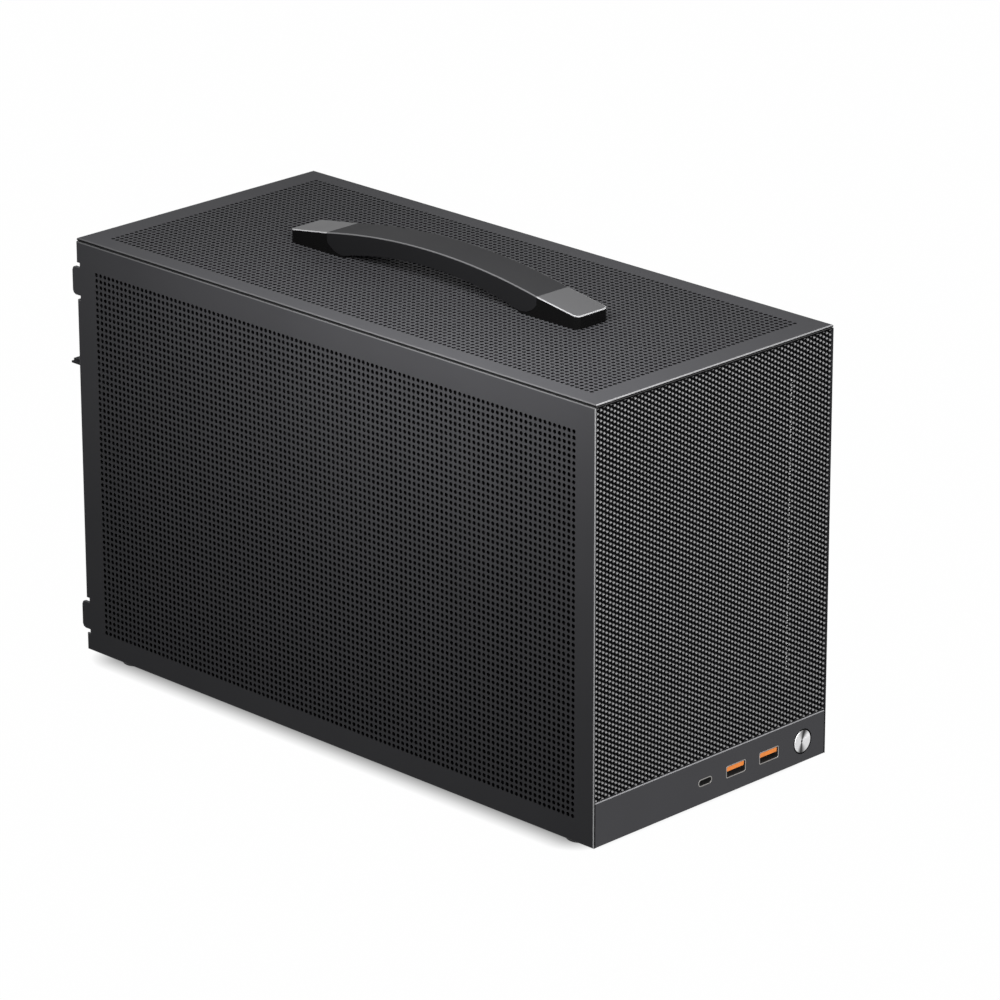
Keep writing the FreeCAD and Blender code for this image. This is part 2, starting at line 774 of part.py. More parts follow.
def build_psu_bracket():
    """Folded bracket that the compact power supply is screwed to."""
    body = new_body("psu_bracket")
    front = INNER_FRONT + s.psu_setback
    back = front + s.sheet
    right = SPINE_RIGHT + s.psu_side_gap + s.psu_width + s.psu_side_gap
    high = FLOOR + s.psu_border + s.psu_height + s.psu_border
    mid_x = SPINE_RIGHT + s.psu_side_gap + s.psu_width / 2
    mid_z = FLOOR + s.psu_border + s.psu_height / 2
    extrude(body, "Pad", "XZ", front, back, [rect(SPINE_RIGHT, right, FLOOR, high)])
    side = rect(SPINE_RIGHT, SPINE_RIGHT + s.sheet, FLOOR, high)
    foot = rect(SPINE_RIGHT, right, FLOOR, FLOOR + s.sheet)
    extrude(body, "Pad", "XZ", front, back + s.psu_flange, [side], tag="side")
    extrude(body, "Pad", "XZ", front, back + s.psu_flange, [foot], tag="foot")
    window = rect(mid_x - s.psu_window_x / 2, mid_x + s.psu_window_x / 2,
                  mid_z - s.psu_window_z / 2, mid_z + s.psu_window_z / 2)
    holes = [(mid_x + s.psu_hole_pitch_x / 2 * i, mid_z + s.psu_hole_pitch_z / 2 * j, s.psu_hole_radius)
             for i in (-1, 1) for j in (-1, 1)]
    extrude(body, "Pocket", "XZ", front, back, [window], holes, "window")
    keep(body, "psu_bracket")


# Expansion slots and inlet at the rear

def build_slots():
    """Shelf, three slot covers hooked over it and their screws."""
    ledge = new_body("slot_ledge")
    section = [
        (REAR_WALL, LEDGE - s.ledge_leg), (REAR_WALL + s.sheet, LEDGE - s.ledge_leg),
        (REAR_WALL + s.sheet, LEDGE - s.sheet), (LEDGE_END, LEDGE - s.sheet),
        (LEDGE_END, LEDGE), (REAR_WALL, LEDGE),
    ]
    extrude(ledge, "Pad", "YZ", LEDGE_LEFT, LEDGE_RIGHT, [section])
    screw_y = REAR + s.ledge_reach / 2
    count = int(s.slot_count.value)
    holes = [ring(slot_centre(i), screw_y, s.slot_screw_hole_radius) for i in range(count)]
    extrude(ledge, "Pocket", "XY", LEDGE - s.sheet, LEDGE, holes, tag="holes")
    keep(ledge, "slot_ledge")
    screws = []
    for i in range(count):
        centre = slot_centre(i)
        build_slot_cover(f"slot_cover_{i + 1}", centre, screw_y)
        seat = (centre, screw_y, LEDGE + s.sheet)
        screws.append(screw(f"slot_screw_{i + 1}", seat, ("Z", "-Z"), s.slot_screw_head_radius,
                            s.slot_screw_head, s.slot_screw_radius, s.slot_screw_length))
    group("slot_screws", screws)


def build_slot_cover(name, centre, screw_y):
    """Blank bracket: a plate on the inside of the wall with a tapered tip and a tab bent over the shelf."""
    body = new_body(name)
    inner = INNER_REAR - s.sheet
    low = LEDGE - s.slot_cover_height
    high = LEDGE + s.sheet
    section = [(inner, low), (INNER_REAR, low), (INNER_REAR, LEDGE), (LEDGE_END, LEDGE),
               (LEDGE_END, high), (inner, high)]
    left = centre - s.slot_cover_width / 2
    right = centre + s.slot_cover_width / 2
    extrude(body, "Pad", "YZ", left, right, [section])
    tips = [
        [(left, low), (left + s.slot_tip_cut, low), (left, low + s.slot_tip_cut)],
        [(right, low), (right, low + s.slot_tip_cut), (right - s.slot_tip_cut, low)],
    ]
    extrude(body, "Pocket", "XZ", inner, INNER_REAR, tips, tag="tip")
    extrude(body, "Pocket", "XY", LEDGE, high, [ring(centre, screw_y, s.slot_screw_hole_radius)], tag="hole")
    keep(body, name)


def build_inlet():
    """Mains inlet with its three blades and two screws."""
    body = new_body("power_inlet")
    x = HALF - s.inlet_from_right
    z = FRAME_UNDER - s.inlet_drop
    face = REAR_WALL + s.inlet_flange

    def centred(width, height):
        return rect(x - width / 2, x + width / 2, z - height / 2, z + height / 2)

    screw_x = [x + s.inlet_hole_pitch / 2 * side for side in (-1, 1)]
    holes = [ring(u, z, s.inlet_screw_radius + s.fit_gap) for u in screw_x]
    flange = centred(s.inlet_flange_width, s.inlet_flange_height)
    extrude(body, "Pad", "XZ", REAR_WALL, face, [flange] + holes)
    back = REAR_WALL - s.inlet_body_depth
    extrude(body, "Pad", "XZ", back, REAR_WALL, [centred(s.inlet_body_width, s.inlet_body_height)], tag="body")
    bottom = face - s.inlet_socket_depth
    socket = centred(s.inlet_socket_width, s.inlet_socket_height)
    extrude(body, "Pocket", "XZ", bottom, face, [socket], tag="socket")
    keep(body, "power_inlet")
    blades = []
    for number, (i, j) in enumerate(((-1, -1), (0, 1), (1, -1)), start=1):
        mid_x = x + s.inlet_pin_pitch * i
        mid_z = z + s.inlet_pin_height / 2 * j
        low = (mid_x - s.inlet_pin_width / 2, bottom, mid_z - s.inlet_pin_height / 2)
        high = (mid_x + s.inlet_pin_width / 2, bottom + s.inlet_pin_length, mid_z + s.inlet_pin_height / 2)
        blades.append(box(f"inlet_blade_{number}", low, high))
    group("inlet_blades", blades)
    screws = []
    for number, u in enumerate(screw_x, start=1):
        seat = (u, face, z)
        length = s.inlet_flange + s.inlet_screw_grip
        screws.append(screw(f"inlet_screw_{number}", seat, ("Y", "-Y"), s.inlet_screw_head_radius,
                            s.inlet_screw_head, s.inlet_screw_radius, length))
    group("inlet_screws", screws)


# Outer panels

def socket(name, mouth, axis):
    """Neck through a wall with a wider body behind it; the stud slides in from the mouth."""
    neck = prism(f"{name}_neck", mouth, axis, s.socket_radius, s.socket_length)
    inside = shift(mouth, axis, s.sheet)
    body = prism(f"{name}_body", inside, axis, s.socket_body_radius, s.socket_length - s.sheet)
    bore = prism(f"{name}_bore", mouth, axis, s.stud_radius + s.socket_clearance, s.socket_length)
    return cut(name, fuse(f"{name}_outside", [neck, body]), bore)


def panel_outline():
    """Side panel seen from the side: two flat ears reach past the folded rear edge between relief notches."""
    lower = BASE + s.ear_inset
    upper = PANEL_TOP - s.ear_inset
    points = [(FRONT, BASE), (REAR, BASE)]
    for low, high in ((lower, lower + s.ear_height), (upper - s.ear_height, upper)):
        points += [
            (REAR, low - s.ear_notch), (REAR - s.ear_notch, low - s.ear_notch), (REAR - s.ear_notch, low),
            (REAR + s.ear_reach, low), (REAR + s.ear_reach, high), (REAR - s.ear_notch, high),
            (REAR - s.ear_notch, high + s.ear_notch), (REAR, high + s.ear_notch),
        ]
    return points + [(REAR, PANEL_TOP), (FRONT, PANEL_TOP)]


def build_side_panel(name, side):
    """Perforated side panel with a folded rear edge, its studs and the chassis sockets they push into."""
    outer = HALF * side
    inner = (HALF - s.sheet) * side
    lip = (HALF - s.panel_lip) * side
    body = new_body(f"{name}_panel")
    low, high = sorted((outer, inner), key=lambda term: term.value)
    extrude(body, "Pad", "YZ", low, high, [panel_outline()])
    lower = BASE + s.ear_inset + s.ear_height + s.ear_notch
    upper = PANEL_TOP - s.ear_inset - s.ear_height - s.ear_notch
    fold_low, fold_high = sorted((outer, lip), key=lambda term: term.value)
    fold = rect(REAR - s.sheet, REAR, lower, upper)
    extrude(body, "Pad", "YZ", fold_low, fold_high, [fold], tag="fold")
    dress(body, "Fillet", s.panel_bend_radius,
          lambda e: runs_along(e, "Z") and near(e.BoundBox.XMin, outer) and near(e.BoundBox.YMax, REAR)
          and e.Length > s.ear_height.value * 2, "bend")
    field_y = s.case_depth - s.grille_margin_front - s.grille_margin_rear
    field_z = PANEL_TOP - BASE - s.grille_margin_top - s.grille_margin_bottom
    pitch_y = field_y / s.grille_columns
    pitch_z = field_z / s.grille_rows
    start_y = FRONT + s.grille_margin_front + (pitch_y - s.grille_window) / 2
    start_z = BASE + s.grille_margin_bottom + (pitch_z - s.grille_window) / 2
    window = rect(start_y, start_y + s.grille_window, start_z, start_z + s.grille_window)
    grille = extrude(body, "Pocket", "YZ", low, high, [window], tag="grille")
    pattern(body, grille, s.grille_columns, pitch_y, s.grille_rows, pitch_z)
    keep(body, f"{name}_panel")
    inward = "X" if side < 0 else "-X"
    spots = [(y, z) for y in STUD_ENDS for z in (STUD_LOW, STUD_HIGH)]
    studs = [prism(f"{name}_stud_{i}", (inner, y, z), inward, s.stud_radius, s.stud_reach)
             for i, (y, z) in enumerate(spots, start=1)]
    group(f"{name}_panel_studs", studs)
    mouth = CHASSIS * side
    sockets = [socket(f"{name}_socket_{i}", (mouth, y, z), inward) for i, (y, z) in enumerate(spots, start=1)]
    group(f"{name}_sockets", sockets)


def build_top_cover():
    """Perforated lid that overhangs the chassis roof."""
    body = new_body("top_cover")
    half = HALF - s.cover_inset
    holes = [ring(ZERO, y, s.handle_screw_radius + s.fit_gap) for y in handle_screw_spots()]
    extrude(body, "Pad", "XY", FRAME_TOP, TOP, [rect(-half, half, FRONT, REAR)] + holes)
    dress(body, "Fillet", s.cover_edge_radius,
          lambda e: near(e.BoundBox.ZMin, TOP) and (runs_along(e, "X") or runs_along(e, "Y")), "edge")
    pitch_x = (half - s.cover_margin) * 2 / s.cover_columns
    pitch_y = (s.case_depth - s.cover_margin * 2) / s.cover_rows
    start_x = -half + s.cover_margin + (pitch_x - s.cover_window) / 2
    start_y = FRONT + s.cover_margin + (pitch_y - s.cover_window) / 2
    window = rect(start_x, start_x + s.cover_window, start_y, start_y + s.cover_window)
    grille = extrude(body, "Pocket", "XY", FRAME_TOP, TOP, [window], tag="grille")
    pattern(body, grille, s.cover_columns, pitch_x, s.cover_rows, pitch_y)
    keep(body, "top_cover")


def build_front_panel():
    """Front panel with a coarse weave of crossing ridges in a folded rim, its studs and their sockets."""
    body = new_body("front_mesh")
    low_z = STRIP_TOP + s.seam
    face = FRONT + s.mesh_ridge
    back = face + s.sheet
    rim_back = FRONT_WALL - s.seam
    extrude(body, "Pad", "XZ", face, rim_back, [rect(-STRIP_HALF, STRIP_HALF, low_z, PANEL_TOP)])
    hollow = rect(-STRIP_HALF + s.sheet, STRIP_HALF - s.sheet, low_z + s.sheet, PANEL_TOP - s.sheet)
    extrude(body, "Pocket", "XZ", back, rim_back, [hollow], tag="hollow")
    half_x = STRIP_HALF - s.mesh_margin
    start_z = low_z + s.mesh_margin
    end_z = PANEL_TOP - s.mesh_margin
    pitch_x = half_x * 2 / s.mesh_columns
    pitch_z = (end_z - start_z) / s.mesh_rows
    gap_x = (pitch_x - s.mesh_window) / 2
    gap_z = (pitch_z - s.mesh_window) / 2
    window = rect(-half_x + gap_x, -half_x + gap_x + s.mesh_window, start_z + gap_z,
                  start_z + gap_z + s.mesh_window)
    holes = extrude(body, "Pocket", "XZ", face, back, [window], tag="gap")
    pattern(body, holes, s.mesh_columns, pitch_x, s.mesh_rows, pitch_z)
    crest = s.mesh_ridge_crest / 2
    base = gap_x - s.fit_gap * 2
    warp = [(-half_x - base, face), (-half_x - crest, FRONT), (-half_x + crest, FRONT), (-half_x + base, face)]
    ridge = extrude(body, "Pad", "XY", start_z - crest, end_z + crest, [warp], tag="warp")
    pattern(body, ridge, s.mesh_columns + 1, pitch_x)
    weft = rect(-half_x - crest, half_x + crest, start_z - crest, start_z + crest)
    rib = extrude(body, "Pad", "XZ", back, back + s.mesh_ridge, [weft], tag="weft")
    pattern(body, rib, as_term(1), pitch_x, s.mesh_rows + 1, pitch_z)
    keep(body, "front_mesh")
    reach = FRONT_WALL + s.stud_reach - back
    spots = front_socket_spots()
    studs = [prism(f"front_stud_{i}", (x, back, z), "Y", s.stud_radius, reach)
             for i, (x, z) in enumerate(spots, start=1)]
    group("front_mesh_studs", studs)
    sockets = [socket(f"front_socket_{i}", (x, FRONT_WALL, z), "Y") for i, (x, z) in enumerate(spots, start=1)]
    group("front_sockets", sockets)


# Port strip

def port_columns():
    """X of the flat port, the two wide ports and the power button."""
    flat = SPINE_RIGHT + s.usb_c_from_spine
    wide = flat + s.usb_a_from_usb_c
    return flat, (wide, wide + s.usb_a_pitch), HALF - s.button_from_right


def build_port_strip():
    """Hollow strip below the mesh with a chamfered top edge, port openings and the button bore."""
    body = new_body("port_strip")
    flat, wide, button = port_columns()
    section = [
        (FRONT, BASE), (FRONT_WALL, BASE), (FRONT_WALL, STRIP_TOP), (FRONT + s.strip_chamfer, STRIP_TOP),
        (FRONT, STRIP_TOP - s.strip_chamfer),
    ]
    extrude(body, "Pad", "YZ", -STRIP_HALF, STRIP_HALF, [section])
    hollow = rect(-STRIP_HALF + s.strip_wall, STRIP_HALF - s.strip_wall, BASE + s.strip_wall,
                  STRIP_TOP - s.strip_wall)
    extrude(body, "Pocket", "XZ", STRIP_BACK, FRONT_WALL, [hollow], tag="hollow")
    half_z = s.usb_a_height / 2 + s.usb_a_bezel / 2
    half_x = s.usb_a_width / 2 + s.usb_a_bezel
    openings = [rect(x - half_x, x + half_x, PORT_Z - half_z, PORT_Z + half_z) for x in wide]
    openings.append(round_slot(flat, PORT_Z, s.usb_c_width + s.usb_c_bezel * 2,
                               s.usb_c_height + s.usb_c_bezel * 2))
    bore = (button, PORT_Z, s.button_radius + s.button_clearance)
    extrude(body, "Pocket", "XZ", FRONT, STRIP_BACK, openings, [bore], "openings")
    keep(body, "port_strip")


def io_board_sides():
    """Left and right edge of the port board."""
    flat, wide, _ = port_columns()
    return flat - s.usb_c_width / 2 - s.io_board_lip, wide[1] + s.usb_a_width / 2 + s.io_board_lip


def build_ports():
    """Circuit board on posts with one flat and two wide ports."""
    flat, wide, _ = port_columns()
    left, right = io_board_sides()
    board_top = PORT_Z - s.usb_a_height / 2
    board_low = board_top - s.board_thickness
    front = FRONT + s.io_board_setback
    back = front + s.io_board_depth
    keep(box("io_board", (left, front, board_low), (right, back, board_top)), "io_board")
    post_y = back - s.io_post_inset
    posts = [prism(f"io_post_{i}", (x, post_y, FLOOR), "Z", s.io_post_radius, board_low - FLOOR)
             for i, x in enumerate((left + s.io_post_inset, right - s.io_post_inset), start=1)]
    group("io_posts", posts)
    mouth = FRONT + s.port_recess
    rear = mouth + s.port_depth
    for label, x in zip(("left", "right"), wide):
        build_wide_port(label, x, mouth, rear)
    build_flat_port(flat, mouth, rear, board_top)


def build_wide_port(label, x, mouth, rear):
    """Rectangular metal shell with a tongue that hangs below its roof."""
    shell = new_body(f"usb_a_shell_{label}")
    half_x = s.usb_a_width / 2
    half_z = s.usb_a_height / 2
    wall = s.shell_wall
    outer = rect(x - half_x, x + half_x, PORT_Z - half_z, PORT_Z + half_z)
    inner = rect(x - half_x + wall, x + half_x - wall, PORT_Z - half_z + wall, PORT_Z + half_z - wall)
    extrude(shell, "Pad", "XZ", mouth, rear, [outer, inner])
    keep(shell, f"usb_a_shell_{label}")
    tongue = new_body(f"usb_a_tongue_{label}")
    extrude(tongue, "Pad", "XZ", rear - s.port_back, rear, [inner])
    roof = PORT_Z + half_z - wall - s.usb_a_tongue_gap
    side = half_x - wall - s.usb_a_tongue_gap
    blade = rect(x - side, x + side, roof - s.usb_a_tongue, roof)
    extrude(tongue, "Pad", "XZ", mouth + s.tongue_setback, rear - s.port_back, [blade], tag="blade")
    keep(tongue, f"usb_a_tongue_{label}")


def build_flat_port(x, mouth, rear, board_top):
    """Flat metal shell with round ends, and a moulded block that carries it with a thin middle tongue."""
    shell = new_body("usb_c_shell")
    wall = s.shell_wall * 2
    outer = round_slot(x, PORT_Z, s.usb_c_width, s.usb_c_height)
    inner = round_slot(x, PORT_Z, s.usb_c_width - wall, s.usb_c_height - wall)
    extrude(shell, "Pad", "XZ", mouth, rear - s.port_back, [outer, inner])
    keep(shell, "usb_c_shell")
    block = new_body("usb_c_tongue")
    half_x = s.usb_c_width / 2
    moulding = rect(x - half_x, x + half_x, board_top, PORT_Z + s.usb_c_height / 2)
    extrude(block, "Pad", "XZ", rear - s.port_back, rear, [moulding])
    side = half_x - wall
    blade = rect(x - side, x + side, PORT_Z - s.usb_c_tongue / 2, PORT_Z + s.usb_c_tongue / 2)
    extrude(block, "Pad", "XZ", mouth + s.tongue_setback, rear - s.port_back, [blade], tag="blade")
    keep(block, "usb_c_tongue")


def build_power_button():
    """Dished button with a flange behind the strip, and the switch on its bracket."""
    _, _, x = port_columns()
    flange_front = s.strip_face + s.button_gap
    flange_back = flange_front + s.button_flange
    profile = [
        (ZERO, s.button_dish), (s.button_radius, ZERO), (s.button_radius, flange_front),
        (s.button_flange_radius, flange_front),
        (s.button_flange_radius, flange_back), (ZERO, flange_back),
    ]
    turned("power_button", "XY", profile, (x, FRONT, PORT_Z))
    plunger = FRONT + flange_back + s.button_travel_room
    face = plunger + s.switch_plunger
    back = face + s.switch_depth
    half = s.switch_size / 2
    tip = prism("switch_plunger_tip", (x, plunger, PORT_Z), "Y", s.switch_plunger_radius,
                s.switch_plunger + s.switch_depth / 2)
    block = box("switch_block", (x - half, face, PORT_Z - half), (x + half, back, PORT_Z + half))
    keep(fuse("power_switch", [tip, block]), "power_switch")
    bracket = new_body("switch_bracket")
    section = [
        (back, FLOOR), (back + s.switch_foot, FLOOR), (back + s.switch_foot, FLOOR + s.sheet),
        (back + s.sheet, FLOOR + s.sheet), (back + s.sheet, PORT_Z + s.switch_size),
        (back, PORT_Z + s.switch_size),
    ]
    half = s.switch_bracket_width / 2
    extrude(bracket, "Pad", "YZ", x - half, x + half, [section])
    keep(bracket, "switch_bracket")


# Handle and feet

def build_handle():
    """Arched grip between two sloping caps that cradle its ends, with screws from under the roof."""
    half = s.handle_length / 2
    joint = half - s.cap_length
    toe = joint - s.cap_toe
    gap = s.fit_gap
    side = s.handle_width / 2
    for label, end in (("front", -1), ("rear", 1)):
        build_handle_cap(label, end, half, joint, toe, side)
    grip = new_body("handle_grip")
    reach = joint - gap
    foot = toe - gap
    joint_z = TOP + s.cap_joint_height
    step_z = TOP + s.cap_step_height + gap
    toe_z = TOP + s.cap_toe_height + gap
    profile = [
        (HANDLE_MID - reach, joint_z, s.grip_rise), (HANDLE_MID + reach, joint_z),
        (HANDLE_MID + reach, step_z, s.cap_saddle_rise), (HANDLE_MID + foot, toe_z, -s.grip_clearance_rise),
        (HANDLE_MID - foot, toe_z, s.cap_saddle_rise), (HANDLE_MID - reach, step_z),
    ]
    extrude(grip, "Pad", "YZ", -side, side, [profile])
    dress(grip, "Chamfer", s.grip_edge_chamfer,
          lambda e: near(e.firstVertex().Z, joint_z) and near(e.lastVertex().Z, joint_z)
          and near(e.firstVertex().X, as_term(e.lastVertex().X)), "edge")
    keep(grip, "handle_grip")
    screws = []
    for number, y in enumerate(handle_screw_spots(), start=1):
        seat = (ZERO, y, FRAME_UNDER)
        length = s.sheet * 2 + s.handle_screw_length - s.cap_toe_height
        label = f"handle_screw_{number}"
        screws.append(screw(label, seat, ("-Z", "Z"), s.handle_screw_head_radius, s.handle_screw_head,
                            s.handle_screw_radius, length))
    group("handle_screws", screws)


def build_handle_cap(label, end, half, joint, toe, side):
    """Cap whose top slopes up to the joint and whose toe runs under the grip."""
    body = new_body(f"handle_cap_{label}")
    rise = s.cap_saddle_rise * end

    def at(distance):
        return HANDLE_MID + distance * end

    profile = [
        (at(half), TOP), (at(half), TOP + s.cap_end_height), (at(joint), TOP + s.cap_joint_height),
        (at(joint), TOP + s.cap_step_height, rise), (at(toe), TOP + s.cap_toe_height), (at(toe), TOP),
    ]
    extrude(body, "Pad", "YZ", -side, side, [profile])
    holes = [ring(ZERO, y, s.handle_screw_radius + s.fit_gap) for y in handle_screw_spots()
             if (y.value - HANDLE_MID.value) * end > 0]
    extrude(body, "Pocket", "XY", TOP, TOP + s.handle_screw_length - s.fit_gap, holes, tag="holes")
    dress(body, "Fillet", s.cap_corner_radius,
          lambda e: runs_along(e, "Z") and near(e.BoundBox.YMin, at(half)), "corner")
    keep(body, f"handle_cap_{label}")


def build_feet():
    """Four round rubber feet under the floor."""
    for x_label, i in (("left", -1), ("right", 1)):
        for y_label, y in (("front", FRONT + s.foot_inset_end), ("rear", REAR - s.foot_inset_end)):
            name = f"foot_{y_label}_{x_label}"
            keep(cylinder(name, ((HALF - s.foot_inset_side) * i, y, ZERO), "Z", s.foot_radius, PAN_UNDER), name)


def write_parts():
    """Check every object and write one file for each piece."""
    doc.recompute()
    for obj in doc.Objects:
        if "Invalid" in obj.State or "Error" in obj.State:
            raise RuntimeError(f"{obj.Name} did not build: {obj.State}")
    for part in sub_parts:
        if part.Shape.isNull() or not part.Shape.isValid() or part.Shape.Volume <= 0:
            raise RuntimeError(f"{part.Label} has no valid solid")
    os.makedirs("parts", exist_ok=True)
    for part in sub_parts:
        part.Shape.exportStep(os.path.join("parts", f"{part.Label}.step"))
        print(f"{part.Label}: {len(part.Shape.Solids)} solids, {part.Shape.Volume:.1f} mm3")


build_bottom_pan()
build_top_frame()
build_front_wall()
build_rear_wall()
build_spine()
build_standoffs()
build_psu_bracket()
build_slots()
build_inlet()
build_side_panel("left", -1)
build_side_panel("right", 1)
build_top_cover()
build_front_panel()
build_port_strip()
build_ports()
build_power_button()
build_handle()
build_feet()
write_parts()
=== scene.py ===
"""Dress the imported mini-ITX case: perforated sheets, woven front, port strip, handle and studio."""
import math

import bmesh
import bpy
from bpy.props import FloatProperty, FloatVectorProperty, IntProperty, PointerProperty
from bpy.types import Operator, Panel, PropertyGroup
from mathutils import Euler, Matrix, Vector


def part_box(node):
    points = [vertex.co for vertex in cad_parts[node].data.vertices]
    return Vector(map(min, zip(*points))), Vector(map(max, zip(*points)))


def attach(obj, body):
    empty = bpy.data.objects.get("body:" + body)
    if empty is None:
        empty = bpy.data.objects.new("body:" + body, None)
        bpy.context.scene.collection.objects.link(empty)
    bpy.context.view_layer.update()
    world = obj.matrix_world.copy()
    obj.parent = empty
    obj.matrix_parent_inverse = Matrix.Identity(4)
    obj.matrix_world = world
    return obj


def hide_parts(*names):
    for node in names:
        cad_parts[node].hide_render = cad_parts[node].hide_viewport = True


bl_info = {
    "name": "Mini-ITX case dresser",
    "version": (1, 0, 0),
    "blender": (4, 5, 0),
    "location": "View3D > Sidebar > Case",
    "description": "Builds the perforated sheets, woven front, strip and handle of a small computer case",
    "category": "Object",
}

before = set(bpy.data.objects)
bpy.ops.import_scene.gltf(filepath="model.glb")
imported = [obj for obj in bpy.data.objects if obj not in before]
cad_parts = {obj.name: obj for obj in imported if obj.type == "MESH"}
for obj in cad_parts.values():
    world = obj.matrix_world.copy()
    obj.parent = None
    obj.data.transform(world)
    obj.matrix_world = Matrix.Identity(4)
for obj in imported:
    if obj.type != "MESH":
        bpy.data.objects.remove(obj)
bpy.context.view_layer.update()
MM = 0.001
DULL = 0.015   # specular level of matte coats, which scatter nearly all they reflect
PATCH = 45 * MM   # size of the patches of gloss on a coat
NEAR = 1e-6   # coordinates this close count as equal
NEARLY = 0.999   # keeps the straight sides of a full round from closing up
ROLL = 0.3   # rounding of a port shell's rim over its wall
CREST = 0.98   # chamfer of the strip's crest over the crest's height, which leaves a hair of its face
HIGHLIGHT_FACING = 0.3   # a rim's normal this far to the front gets the painted highlight of the front edge
TOP = 0.9   # a normal this far along an axis faces that way
ARCH_TOP = 0.7   # the same for the top of an arch, which slopes
STEEP = 0.5   # a normal less than this along an axis lies across it
SECOND, THIRD, FOURTH = 1, 2, 3   # places in a piece's list of finishes
CORNER_STEPS, SLOT_STEPS, BORE_STEPS = 24, 32, 64   # edges round a wide port, the flat port and the bore
ARCH_STEPS, SADDLE_STEPS, UPRIGHT_STEPS = 48, 12, 8   # edges along the handle's arches, saddles and corners
SEEN_FROM_FRONT = (1, 0, 0), (0, 0, 1)   # directions of a sheet's X and Y on the front of the case


def linear(code):
    """Linear colour of an sRGB hex value."""
    parts = [int(code[i:i + 2], 16) / 255 for i in (1, 3, 5)]
    return tuple(c / 12.92 if c <= 0.04045 else ((c + 0.055) / 1.055) ** 2.4 for c in parts)


def length(name, description, millimetres):
    """Length property with its default in millimetres."""
    return FloatProperty(name=name, description=description, default=millimetres * MM, min=0.0, precision=5,
                         subtype="DISTANCE", unit="LENGTH")


def count(name, description, number):
    """Whole number property."""
    return IntProperty(name=name, description=description, default=number, min=2)


def level(name, description, value, unit="NONE"):
    """Number property, with a unit where one fits."""
    return FloatProperty(name=name, description=description, default=value, min=0.0, unit=unit)


def colour(name, description, code):
    """Colour property with its default as an sRGB hex value."""
    return FloatVectorProperty(name=name, description=description, default=linear(code), min=0.0, max=1.0,
                               subtype="COLOR")


class CaseSheetSizes(PropertyGroup):
    """Perforated side panels and top cover."""

    sheet: length("Sheet", "Thickness of the folded steel", 1.0)
    pitch: length("Hole pitch", "Distance between neighbouring holes", 2.985)
    hole: length("Hole radius", "Corner radius of a six-sided hole", 1.1)
    side_columns: count("Side columns", "Holes along a side panel", 108)
    side_rows: count("Side rows", "Holes up a side panel", 63)
    side_from_front: length("Side front margin", "Front edge to the first hole centre", 13.1)
    side_from_bottom: length("Side bottom margin", "Lower edge to the first hole centre", 12.45)
    top_columns: count("Top columns", "Holes across the top cover", 46)
    top_rows: count("Top rows", "Holes along the top cover", 108)
    edge: length("Edge rounding", "Rounding of the outer edges of a side panel", 0.45)
    cover_edge: length("Cover rounding", "Rounding of the outer edges of the top cover", 0.5)
    seal: length("Seal", "Width of the rubber strip under the cover's rim", 0.8)
    seal_inset: length("Seal inset", "Cover's edge to the rubber strip under its rim", 0.3)
    seal_height: length("Seal height", "Thickness of the rubber strip under the cover's rim", 0.55)
    ear_low: length("Lower ear", "Lower edge of a panel to its lower rear ear", 10.7)
    ear_high: length("Upper ear", "Top edge of a panel to its upper rear ear", 12.8)
    ear_height: length("Ear height", "Height of a rear ear", 14.6)
    ear_corner: length("Ear corner", "Rounding of a rear ear's corners", 2.2)
    ear_notch: length("Ear notch", "Relief notch beside a rear ear", 2.0)
    ear_cut: level("Ear cut", "Gap from the edges to a corner's middle point, over the corner", 0.3)


class CaseWeaveSizes(PropertyGroup):
    """Woven front panel."""

    warp_pitch: length("Warp pitch", "Distance between upright wires", 2.2)
    weft_pitch: length("Weft pitch", "Distance between level wires", 1.27)
    warp_wire: length("Warp wire", "Half the depth of an upright wire", 0.42)
    warp_flat: level("Warp flatness", "Width of an upright wire over its depth", 1.6)
    weft_wire: length("Weft wire", "Radius of a level wire", 0.42)
    warp_wave: length("Warp wave", "How far an upright wire swings over and under", 0.6)
    weft_wave: length("Weft wave", "How far a level wire swings over and under", 0.22)
    rim: length("Rim", "Thickness of the folded rim round the weave", 0.5)
    reach: length("Reach", "How far the rim stands past its node, towards its neighbours", 0.4)
    setback: length("Setback", "Front plane to the middle of the weave", 1.05)


class CaseStripSizes(PropertyGroup):
    """Port strip, ports and button."""

    face: length("Face", "Thickness of the strip's face", 2.5)
    wall: length("Wall", "Thickness of the strip's returns", 1.5)
    chamfer: length("Chamfer", "Chamfer along the strip's top edge", 0.4)
    edge: length("Edge rounding", "Rounding of the strip's other edges", 0.25)
    reach: length("Reach", "How far the strip's ends stand past their node, towards the side panels", 0.5)
    port_corner: length("Port corner", "Corner radius of a wide port", 0.8)
    bezel: length("Bezel", "Node's edge to the edge of the opening round it", 0.36)
    shell: length("Shell wall", "Thickness of a port shell", 0.6)
    shell_setback: length("Shell setback", "Front plane to the rim of a port shell", 0.05)
    shell_grow: length("Shell rim", "How far a shell's rolled rim stands past its node", 0.3)
    tongue_setback: length("Tongue setback", "Shell rim to the front of a tongue", 0.5)
    tongue_gap: length("Tongue gap", "Gap beside and over a tongue", 0.35)
    tongue_edge: length("Tongue edge", "Rounding of a tongue's edges", 0.25)
    block: length("Block", "Depth of the block that holds a tongue", 3.0)
    contacts: count("Contacts", "Contacts under a tongue", 4)
    contact_width: length("Contact width", "Width of a contact", 1.0)
    contact_height: length("Contact height", "Thickness of a contact", 0.15)
    contact_edge: length("Contact edge", "Rounding of a contact's edges", 0.05)
    contact_setback: length("Contact setback", "Shell rim to the front of a contact", 1.6)


